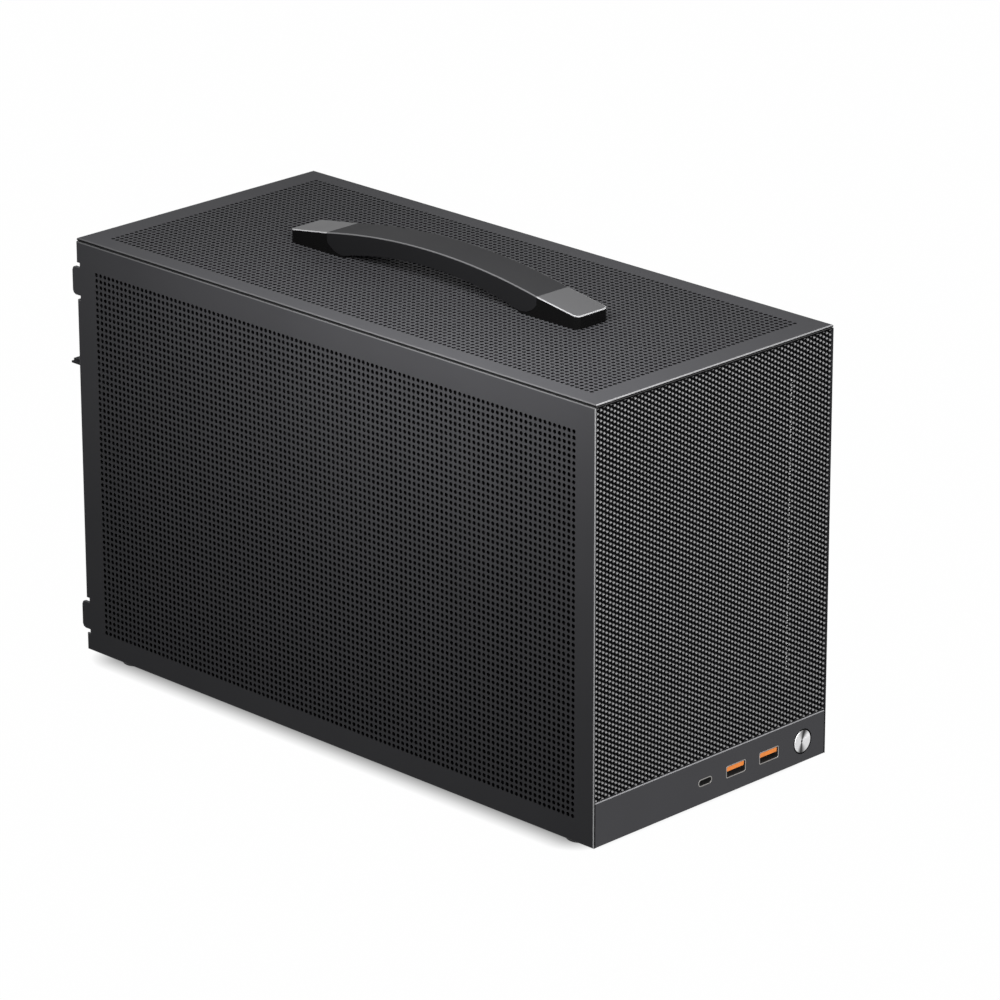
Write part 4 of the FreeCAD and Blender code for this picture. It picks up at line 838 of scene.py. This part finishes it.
class CASE_OT_port_strip(Operator):
    """Build the strip below the weave with its openings and chamfer"""

    bl_idname = "pc_case.port_strip"
    bl_label = "Port strip"

    def execute(self, context):
        sizes = context.scene.case_strip
        low, high = (corner.copy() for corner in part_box("port_strip"))
        low.x -= sizes.reach
        high.x += sizes.reach
        ridge = high.z - sizes.chamfer
        bm = bmesh.new()
        rim = chain(bm, [(low.x, low.z), (high.x, low.z), (high.x, ridge), (low.x, ridge)])
        corners = {vert for e in rim for vert in e.verts}
        edges = list(rim)
        grow = sizes.bezel * 2
        for node in ("usb_a_shell_left", "usb_a_shell_right"):
            a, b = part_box(node)
            edges += rounded(bm, centre_of(node), b.x - a.x + grow, b.z - a.z + grow,
                             sizes.port_corner + sizes.bezel)
        a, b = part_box("usb_c_shell")
        tall = b.z - a.z + grow
        edges += rounded(bm, centre_of("usb_c_shell"), b.x - a.x + grow, tall, tall / 2 * NEARLY, SLOT_STEPS)
        bore = context.scene.case_button.bore
        edges += rounded(bm, centre_of("power_button"), bore * 2, bore * 2, bore * NEARLY, BORE_STEPS)
        bmesh.ops.triangle_fill(bm, edges=edges, use_beauty=True, use_dissolve=False, normal=(0, 0, 1))
        thicken(bm, sizes.face)
        outer = outline_edges(bm, corners)
        openings = [e for e in front_rim(bm) if e not in outer]
        # Walls of the openings take the painted shade of the hole walls.
        for face in {f for e in openings for f in e.link_faces if abs(f.normal.z) < STEEP}:
            face.material_index = THIRD
        round_edges(bm, openings, sizes.edge / 2)
        lower = [e for e in bm.edges if all(v.co.y < low.z + NEAR and abs(v.co.z) < NEAR for v in e.verts)]
        round_edges(bm, lower, sizes.edge)
        returns = hoop((low.x, low.z), (high.x, high.z), sizes.wall, high.y - low.y - sizes.face)
        move(returns, (0, 0, -sizes.face))
        absorb(bm, returns)
        lay(bm, *SEEN_FROM_FRONT, (0, low.y, 0))
        bar = add_block(bm, (low.x, low.y, ridge), (high.x, low.y + sizes.face, high.z))
        crest = [e for e in edges_of(bar)
                 if all(v.co.y < low.y + NEAR and v.co.z > high.z - NEAR for v in e.verts)]
        round_edges(bm, crest, sizes.chamfer * CREST, 1, finish_number=SECOND)
        piece("port_strip_shell", bm, (powder_coated_steel, cut_chamfer, punched_wall),
              "case", ["port_strip"])
        return {"FINISHED"}


class CASE_OT_ports(Operator):
    """Build the port shells and their tongues"""

    bl_idname = "pc_case.ports"
    bl_label = "Ports"

    def execute(self, context):
        sizes = context.scene.case_strip
        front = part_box("port_strip")[0].y + sizes.shell_setback
        for side in ("left", "right"):
            self.shell(f"usb_a_shell_{side}", f"wide_port_{side}", front, sizes.port_corner, CORNER_STEPS)
            self.tongue(side, front, sizes)
        low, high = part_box("usb_c_shell")
        self.shell("usb_c_shell", "flat_port", front, (high.z - low.z) / 2 * NEARLY, SLOT_STEPS)
        coat(black_nylon, "usb_c_tongue", "power_switch")
        coat(solder_mask, "io_board")
        coat(turned_brass, "io_posts")
        coat(coated_chassis_steel, "switch_bracket")
        return {"FINISHED"}

    def shell(self, node, name, front, corner, segments):
        """Drawn metal sleeve with rounded corners and a rolled front rim."""
        sizes = bpy.context.scene.case_strip
        wall, grow = sizes.shell, sizes.shell_grow
        low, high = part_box(node)
        bm = bmesh.new()
        corner += grow
        wide, tall = high.x - low.x + grow * 2, high.z - low.z + grow * 2
        middle = centre_of(node)
        edges = rounded(bm, middle, wide, tall, corner, segments)
        inner = max(corner - wall, wall)
        edges += rounded(bm, middle, wide - wall * 2, tall - wall * 2, inner, segments)
        bmesh.ops.bridge_loops(bm, edges=edges)
        thicken(bm, high.y - front)
        rim = front_rim(bm)
        hole = Vector((wide / 2 - wall + NEAR, tall / 2 - wall + NEAR))
        for face in bm.faces:
            off = [vert.co.to_2d() - Vector(middle) for vert in face.verts]
            if all(abs(o.x) < hole.x and abs(o.y) < hole.y for o in off):
                face.material_index = SECOND
        round_edges(bm, rim, wall * ROLL)
        lay(bm, *SEEN_FROM_FRONT, (0, front, 0))
        piece(name, bm, (nickel_plate, black_nylon), "case", [node], smooth=40)

    def tongue(self, side, front, sizes):
        """Orange tongue in the upper half of a wide port, its contacts and the black block that holds it."""
        node = f"usb_a_tongue_{side}"
        low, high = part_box(f"usb_a_shell_{side}")
        wall = sizes.shell - sizes.shell_grow
        middle = (low.z + high.z) / 2
        left, right = low.x + wall, high.x - wall
        floor, roof = low.z + wall, high.z - wall
        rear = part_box(node)[1].y
        back = rear - sizes.block
        block = bmesh.new()
        add_block(block, (left, back, floor), (right, rear, roof))
        piece(f"wide_port_block_{side}", block, (black_nylon,), "case")
        gap = sizes.tongue_gap
        bm = bmesh.new()
        blade = add_block(bm, (left + gap, front + sizes.tongue_setback, middle),
                          (right - gap, back, roof - gap))
        round_edges(bm, edges_of(blade), sizes.tongue_edge)
        piece(f"wide_port_tongue_{side}", bm, (orange_pbt,), "case", [node])
        contacts = bmesh.new()
        for number in range(1, sizes.contacts + 1):
            x = left + (right - left) * number / (sizes.contacts + 1)
            aside = sizes.contact_width / 2
            start = (x - aside, front + sizes.contact_setback, middle - sizes.contact_height)
            strip = add_block(contacts, start, (x + aside, back, middle))
            round_edges(contacts, edges_of(strip), sizes.contact_edge, 1)
        piece(f"wide_port_contacts_{side}", contacts, (turned_brass,), "case")


# Points that round off the button's land: distance out and back, in shares of its width.
LAND_ROUND = ((0.6, 0), (0.9, 0.15), (1, 0.5))


class CASE_OT_power_button(Operator):
    """Turn the power button"""

    bl_idname = "pc_case.power_button"
    bl_label = "Power button"

    def execute(self, context):
        sizes = context.scene.case_button
        low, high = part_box("power_button")
        x, z = centre_of("power_button")
        flange = (high.x - low.x) / 2
        depth = high.y - low.y
        neck = depth - sizes.flange
        inner = sizes.radius - sizes.land
        profile = [(0, sizes.dimple_depth), (sizes.dimple, sizes.dimple_depth), (sizes.dimple, sizes.dish),
                   (inner, sizes.land_step)]
        profile += [(inner + sizes.land * out, sizes.land * back) for out, back in LAND_ROUND]
        profile += [(sizes.radius, neck), (flange, neck), (flange, depth), (0, depth)]
        bm = turned(profile, (0, 1, 0), steps=72)
        for face in bm.faces:
            reach = [math.hypot(v.co.x, v.co.z) for v in face.verts if v.co.y < depth / 2]
            if not reach or max(reach) < sizes.dimple + NEAR or min(reach) > sizes.radius - NEAR:
                face.material_index = SECOND
        move(bm, (x, low.y, z))
        piece("power_button_cap", bm, (lathe_turned_aluminium, black_nylon),
              "power_button", ["power_button"], smooth=30)
        return {"FINISHED"}


# Handle

def arc(bm, start, stop, rise, steps):
    """Chain of edges over a chord in the YZ plane, bulging left by the rise; returns its last vertex."""
    a, b = start.co.copy(), Vector(stop)
    chord = b - a
    left = Vector((0, -chord.z, chord.y)).normalized()
    centre = (a + b) / 2 + left * (rise / 2 - chord.length ** 2 / (8 * rise))
    angle = 2 * math.asin(min(1.0, chord.length / 2 / (a - centre).length)) * (-1 if rise > 0 else 1)
    made = bmesh.ops.spin(bm, geom=[start], cent=centre, axis=(1, 0, 0), dvec=(0, 0, 0), angle=angle,
                          steps=steps, use_merge=False, use_duplicate=False)["geom_last"]
    return verts_in(made)[0]


def step_to(bm, start, stop):
    """Straight edge to a new vertex."""
    vert = bm.verts.new(stop)
    bm.edges.new((start, vert))
    return vert


def fill_and_widen(bm, half):
    """Fill a side profile and widen it to both sides."""
    weld(bm)
    face = bmesh.ops.contextual_create(bm, geom=bm.edges[:])["faces"]
    move(bm, (-half, 0, 0))
    made = bmesh.ops.extrude_face_region(bm, geom=face)["geom"]
    bmesh.ops.translate(bm, vec=(half * 2, 0, 0), verts=verts_in(made))
    bmesh.ops.recalc_face_normals(bm, faces=bm.faces)


class CASE_OT_handle(Operator):
    """Build the arched grip and its two caps"""

    bl_idname = "pc_case.handle"
    bl_label = "Handle"

    def execute(self, context):
        sizes = context.scene.case_handle
        cap_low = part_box("handle_cap_front")[0]
        cap_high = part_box("handle_cap_rear")[1]
        base, top = cap_low.z, cap_high.z
        middle = (cap_low.y + cap_high.y) / 2
        half = (cap_high.y - cap_low.y) / 2
        side = cap_high.x + sizes.widen
        joint = half - sizes.cap_length
        toe = joint - sizes.cap_toe
        self.grip(sizes, middle, base, top, joint, toe, side)
        for label, end in (("front", -1), ("rear", 1)):
            self.cap(sizes, label, end, middle, base, top, half, joint, toe, side)
        return {"FINISHED"}

    def grip(self, sizes, middle, base, top, joint, toe, side):
        """Arched bar whose ends roll under into the caps."""
        reach = joint - sizes.gap
        foot = toe - sizes.gap
        step = base + sizes.cap_step + sizes.gap
        under = base + sizes.cap_toe_height + sizes.gap
        bm = bmesh.new()
        first = bm.verts.new((0, middle - reach, top))
        vert = arc(bm, first, (0, middle + reach, top), sizes.grip_rise, ARCH_STEPS)
        vert = step_to(bm, vert, (0, middle + reach, step))
        vert = arc(bm, vert, (0, middle + foot, under), sizes.saddle, SADDLE_STEPS)
        vert = arc(bm, vert, (0, middle - foot, under), -sizes.under_rise, ARCH_STEPS)
        vert = arc(bm, vert, (0, middle - reach, step), sizes.saddle, SADDLE_STEPS)
        bm.edges.new((vert, first))
        fill_and_widen(bm, side)
        long_edges = [e for e in bm.edges if len({abs(f.normal.x) > TOP for f in e.link_faces}) == 2]
        upper = [e for e in long_edges if any(f.normal.z > ARCH_TOP for f in e.link_faces)]
        # Top faces take the painted light of the grip's top.
        for face in bm.faces:
            if face.normal.z > ARCH_TOP:
                face.material_index = THIRD
        # The upper edges take the painted edge highlight.
        round_edges(bm, upper, sizes.grip_edge, finish_number=SECOND)
        piece("handle_bar", bm, (soft_touch_plastic, rubbed_soft_plastic, matted_soft_plastic),
              "case", ["handle_grip"], smooth=40, flat=True)

    def cap(self, sizes, label, end, middle, base, top, half, joint, toe, side):
        """Sloping block whose toe cradles the grip's end."""
        bm = bmesh.new()
        first = bm.verts.new((0, middle + half * end, base))
        vert = step_to(bm, first, (0, middle + half * end, base + sizes.cap_end))
        vert = step_to(bm, vert, (0, middle + joint * end, top))
        vert = step_to(bm, vert, (0, middle + joint * end, base + sizes.cap_step))
        tip = (0, middle + toe * end, base + sizes.cap_toe_height)
        vert = arc(bm, vert, tip, sizes.saddle * end, SADDLE_STEPS)
        vert = step_to(bm, vert, (0, middle + toe * end, base))
        bm.edges.new((vert, first))
        fill_and_widen(bm, side)
        far = middle + half * end
        upright = [e for e in bm.edges if all(abs(v.co.y - far) < NEAR for v in e.verts)
                   and abs(e.verts[0].co.x - e.verts[1].co.x) < NEAR]
        round_edges(bm, upright, sizes.corner, UPRIGHT_STEPS)
        slope = [e for e in bm.edges
                 if len(e.link_faces) == 2 and len({f.normal.z > TOP for f in e.link_faces}) == 2
                 and all((v.co.y - middle) * end > joint - NEAR for v in e.verts)
                 and any((v.co.y - middle) * end > joint + NEAR for v in e.verts)]
        # Top faces past the joint take the painted light of the cap tops.
        for face in bm.faces:
            if face.normal.z > TOP and (face.calc_center_median().y - middle) * end > joint:
                face.material_index = THIRD
        # The sloping top edges take the painted edge highlight.
        round_edges(bm, slope, sizes.cap_edge, finish_number=SECOND)
        piece(f"handle_end_{label}", bm, (gloss_abs, buffed_abs, satin_abs), "case",
              [f"handle_cap_{label}"], smooth=40, flat=True)


# Chassis, rear and feet

class CASE_OT_chassis(Operator):
    """Finish the folded chassis, the rear fittings and the fasteners"""

    bl_idname = "pc_case.chassis"
    bl_label = "Chassis"

    def execute(self, context):
        coat(coated_chassis_steel, "bottom_pan", "top_frame", "front_wall", "spine", "psu_bracket")
        coat(powder_coated_steel, "rear_wall", "slot_ledge", "slot_cover_1", "slot_cover_2", "slot_cover_3")
        coat(turned_brass, "standoffs", "inlet_blades")
        coat(black_nylon, "power_inlet")
        coat(blackened_steel, "slot_screws", "inlet_screws", "handle_screws")
        return {"FINISHED"}


FOOT_HOLLOW = 0.8 * MM   # depth of the hollow under a foot
HOLLOW_FLOOR, HOLLOW_MOUTH = 0.5, 0.55   # radius of the hollow over the foot's radius
# Edge of a foot from its flat underside up: distance in from its side, and height, in millimetres.
FOOT_EDGE = ((1.6, 0), (0.9, 0.25), (0.6, 0.9))


class CASE_OT_feet(Operator):
    """Turn the four rubber feet"""

    bl_idname = "pc_case.feet"
    bl_label = "Feet"

    def execute(self, context):
        for x_side in ("left", "right"):
            for y_side in ("front", "rear"):
                self.foot(f"foot_{y_side}_{x_side}", f"rubber_foot_{y_side}_{x_side}")
        return {"FINISHED"}

    def foot(self, node, name):
        """Tapered disc with a rounded edge and a hollow under it."""
        low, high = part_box(node)
        radius = (high.x - low.x) / 2
        tall = high.z - low.z
        profile = [(0, FOOT_HOLLOW), (radius * HOLLOW_FLOOR, FOOT_HOLLOW), (radius * HOLLOW_MOUTH, 0)]
        profile += [(radius - inward * MM, up * MM) for inward, up in FOOT_EDGE]
        profile += [(radius, tall), (0, tall)]
        bm = turned(profile, (0, 0, 1), steps=40)
        middle = (low + high) / 2
        move(bm, (middle.x, middle.y, low.z))
        piece(name, bm, (pressed_rubber,), "case", [node], smooth=35)


# Stage

FLOOR_HALF = 6.0   # half the floor's width in metres
GLOW = 0.995   # share of the floor's glow away from the case
SHADE_INSET = 14 * MM   # pan's edge to the start of the floor's glow under it
SHADE_FADE = 20 * MM   # width over which the glow grows
SPINE_GAP, REAR_GAP, FRONT_GAP, ROOF_GAP = 0.3 * MM, 2 * MM, 1 * MM, 0.05 * MM   # sheets to the dark cards
# Power setting, size, place, point it looks at, and whether reflections show it.
SOFTBOXES = {
    "roof_box": ("roof", (1.2, 1.2), (-0.1, -0.5, 1.15), (0, -0.05, 0.2), True),
    "side_box": ("side", (0.27, 0.18), (-0.20, -0.12, 0.417), (0.03, 0.06, 0.295), True),
    "front_box": ("front", (1.2, 0.7), (-0.08, -1.25, 0.35), (0, -0.17, 0.1), True),
    "back_kicker": ("back", (0.4, 0.4), (-0.5, 1.0, 1.2), (0, 0, 0.22), True),
    "right_kicker": ("right", (0.4, 0.4), (0.95, -0.5, 1.15), (0, -0.1, 0.2), True),
    "rear_fill": ("fill", (1.2, 0.8), (0.2, 1.6, 0.32), (0, 0.1, 0.12), False),
    "right_fill": ("fill", (1.2, 0.8), (1.6, 0.1, 0.32), (0, 0, 0.12), False),
}


class CASE_OT_stage(Operator):
    """Set the floor, the lights and the camera"""

    bl_idname = "pc_case.stage"
    bl_label = "Stage"

    def execute(self, context):
        settings = context.scene.case_stage
        context.scene.view_settings.view_transform = "Standard"
        self.floor(context)
        self.world(context, settings)
        self.flags(context)
        for name, (power, *rest) in SOFTBOXES.items():
            self.softbox(name, getattr(settings, power), *rest)
        data = bpy.data.cameras.new("camera")
        data.lens = settings.lens
        camera = bpy.data.objects.new("camera", data)
        camera.location = settings.camera
        camera.rotation_euler = Euler(settings.turn)
        context.scene.collection.objects.link(camera)
        context.scene.camera = camera
        return {"FINISHED"}

    def plain(self, context, name, low, high, material):
        """Flat stage piece between two opposite corners that share one coordinate."""
        first, last = Vector(low), Vector(high)
        across, along = [i for i in range(3) if abs(last[i] - first[i]) > NEAR]
        second, fourth = first.copy(), first.copy()
        second[across] = last[across]
        fourth[along] = last[along]
        bm = bmesh.new()
        bm.faces.new([bm.verts.new(corner) for corner in (first, second, last, fourth)])
        mesh = bpy.data.meshes.new(name)
        bm.to_mesh(mesh)
        bm.free()
        mesh.materials.append(material)
        obj = bpy.data.objects.new(name, mesh)
        context.scene.collection.objects.link(obj)

    def seen(self, tree):
        """One for rays from the camera and from shiny or clear surfaces, else zero."""
        path = add(tree, "ShaderNodeLightPath")
        shiny = maths(tree, "ADD", path.outputs["Is Camera Ray"], path.outputs["Is Glossy Ray"])
        return maths(tree, "ADD", shiny, path.outputs["Is Transmission Ray"], clamp=True)

    def flags(self, context):
        """Black cards inside the case: dark sheets standing in for the shade in there, which keep the white
        floor beyond from showing through the holes.
        """
        material = bpy.data.materials.new("black_card")
        shade(cleared(material), {"Base Color": (0.01, 0.01, 0.01, 1), "Roughness": 0.9})
        low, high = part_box("spine")
        cover_low, cover_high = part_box("top_cover")
        left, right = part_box("left_panel")[1].x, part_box("right_panel")[0].x
        beside = high.x + SPINE_GAP
        rear = high.y - REAR_GAP
        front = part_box("front_wall")[1].y + FRONT_GAP
        roof = cover_low.z - ROOF_GAP
        cards = {
            "spine_card": ((beside, low.y, low.z), (beside, high.y, high.z)),
            "rear_card": ((left, rear, low.z), (low.x, rear, high.z)),
            "front_card": ((left, front, low.z), (right, front, high.z)),
            "roof_card": ((cover_low.x, cover_low.y, roof), (cover_high.x, cover_high.y, roof)),
        }
        for name, corners in cards.items():
            self.plain(context, name, *corners, material)

    def floor(self, context):
        """Grey floor that glows white when seen, except below the case and in its soft shadow."""
        material = bpy.data.materials.new("pale_floor")
        tree = cleared(material)
        low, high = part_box("bottom_pan")
        inset = Vector((SHADE_INSET, SHADE_INSET, 0))
        half = ((high - low) / 2 - inset).to_tuple()
        place = add(tree, "ShaderNodeTexCoord")
        out = add(tree, "ShaderNodeVectorMath", {0: place.outputs["Object"]}, operation="ABSOLUTE")
        past = add(tree, "ShaderNodeVectorMath", {0: out.outputs[0], 1: half}, operation="SUBTRACT")
        clear = add(tree, "ShaderNodeVectorMath", {0: past.outputs[0], 1: (0, 0, 0)}, operation="MAXIMUM")
        gap = add(tree, "ShaderNodeVectorMath", {0: clear.outputs[0]}, operation="LENGTH")
        fade = {"Value": gap.outputs["Value"], "From Max": SHADE_FADE, "To Max": GLOW}
        share = add(tree, "ShaderNodeMapRange", fade)
        glowing = maths(tree, "MULTIPLY", self.seen(tree), share.outputs[0])
        paint = add(tree, "ShaderNodeBsdfDiffuse", {"Color": (*context.scene.case_colours.floor, 1)})
        glow = add(tree, "ShaderNodeEmission", {"Color": (1, 1, 1, 1), "Strength": 1.0})
        mixed = add(tree, "ShaderNodeMixShader", {0: glowing, 1: paint.outputs[0], 2: glow.outputs[0]})
        add(tree, "ShaderNodeOutputMaterial", {"Surface": mixed.outputs[0]})
        self.plain(context, "floor", (-FLOOR_HALF, -FLOOR_HALF, 0), (FLOOR_HALF, FLOOR_HALF, 0), material)

    def world(self, context, settings):
        """White for the camera and in reflections, a plain even light for everything else."""
        world = bpy.data.worlds.new("studio")
        tree = cleared(world)
        even = add(tree, "ShaderNodeBackground", {"Color": (1, 1, 1, 1), "Strength": settings.ambient})
        white = add(tree, "ShaderNodeBackground", {"Color": (1, 1, 1, 1), "Strength": 1.0})
        seen = self.seen(tree)
        mixed = add(tree, "ShaderNodeMixShader", {0: seen, 1: even.outputs[0], 2: white.outputs[0]})
        add(tree, "ShaderNodeOutputWorld", {"Surface": mixed.outputs[0]})
        context.scene.world = world

    def softbox(self, name, power, size, place, aim, shine):
        """Area light that looks at a point; without shine it is left out of reflections."""
        data = bpy.data.lights.new(name, "AREA")
        data.shape = "RECTANGLE"
        data.size, data.size_y = size
        data.energy = power
        lamp = bpy.data.objects.new(name, data)
        lamp.location = place
        lamp.visible_camera = False
        lamp.visible_glossy = shine
        lamp.rotation_euler = (Vector(aim) - Vector(place)).to_track_quat("-Z", "Y").to_euler()
        bpy.context.scene.collection.objects.link(lamp)


OPERATORS = (
    CASE_OT_side_panels, CASE_OT_top_cover, CASE_OT_woven_front, CASE_OT_port_strip, CASE_OT_ports,
    CASE_OT_power_button, CASE_OT_handle, CASE_OT_chassis, CASE_OT_feet, CASE_OT_stage,
)
GROUPS = {
    "case_sheets": CaseSheetSizes,
    "case_weave": CaseWeaveSizes,
    "case_strip": CaseStripSizes,
    "case_button": CaseButtonSizes,
    "case_handle": CaseHandleSizes,
    "case_colours": CaseColours,
    "case_stage": CaseStage,
}


class CASE_PT_sidebar(Panel):
    """Sidebar that lists the pieces and their sizes"""

    bl_idname = "CASE_PT_sidebar"
    bl_label = "Mini-ITX case"
    bl_space_type = "VIEW_3D"
    bl_region_type = "UI"
    bl_category = "Case"

    def draw(self, context):
        for operator in OPERATORS:
            self.layout.operator(operator.bl_idname)
        for group in GROUPS:
            box = self.layout.box()
            settings = getattr(context.scene, group)
            for name in settings.__annotations__:
                box.prop(settings, name)


def register():
    for group in GROUPS.values():
        bpy.utils.register_class(group)
    for name, group in GROUPS.items():
        setattr(bpy.types.Scene, name, PointerProperty(type=group))
    for operator in OPERATORS:
        bpy.utils.register_class(operator)
    bpy.utils.register_class(CASE_PT_sidebar)


def unregister():
    bpy.utils.unregister_class(CASE_PT_sidebar)
    for operator in reversed(OPERATORS):
        bpy.utils.unregister_class(operator)
    for name in GROUPS:
        delattr(bpy.types.Scene, name)
    for group in reversed(list(GROUPS.values())):
        bpy.utils.unregister_class(group)


def main():
    register()
    bpy.ops.pc_case.side_panels()
    bpy.ops.pc_case.top_cover()
    bpy.ops.pc_case.woven_front()
    bpy.ops.pc_case.port_strip()
    bpy.ops.pc_case.ports()
    bpy.ops.pc_case.power_button()
    bpy.ops.pc_case.handle()
    bpy.ops.pc_case.chassis()
    bpy.ops.pc_case.feet()
    bpy.ops.pc_case.stage()


if __name__ == "__main__":
    main()
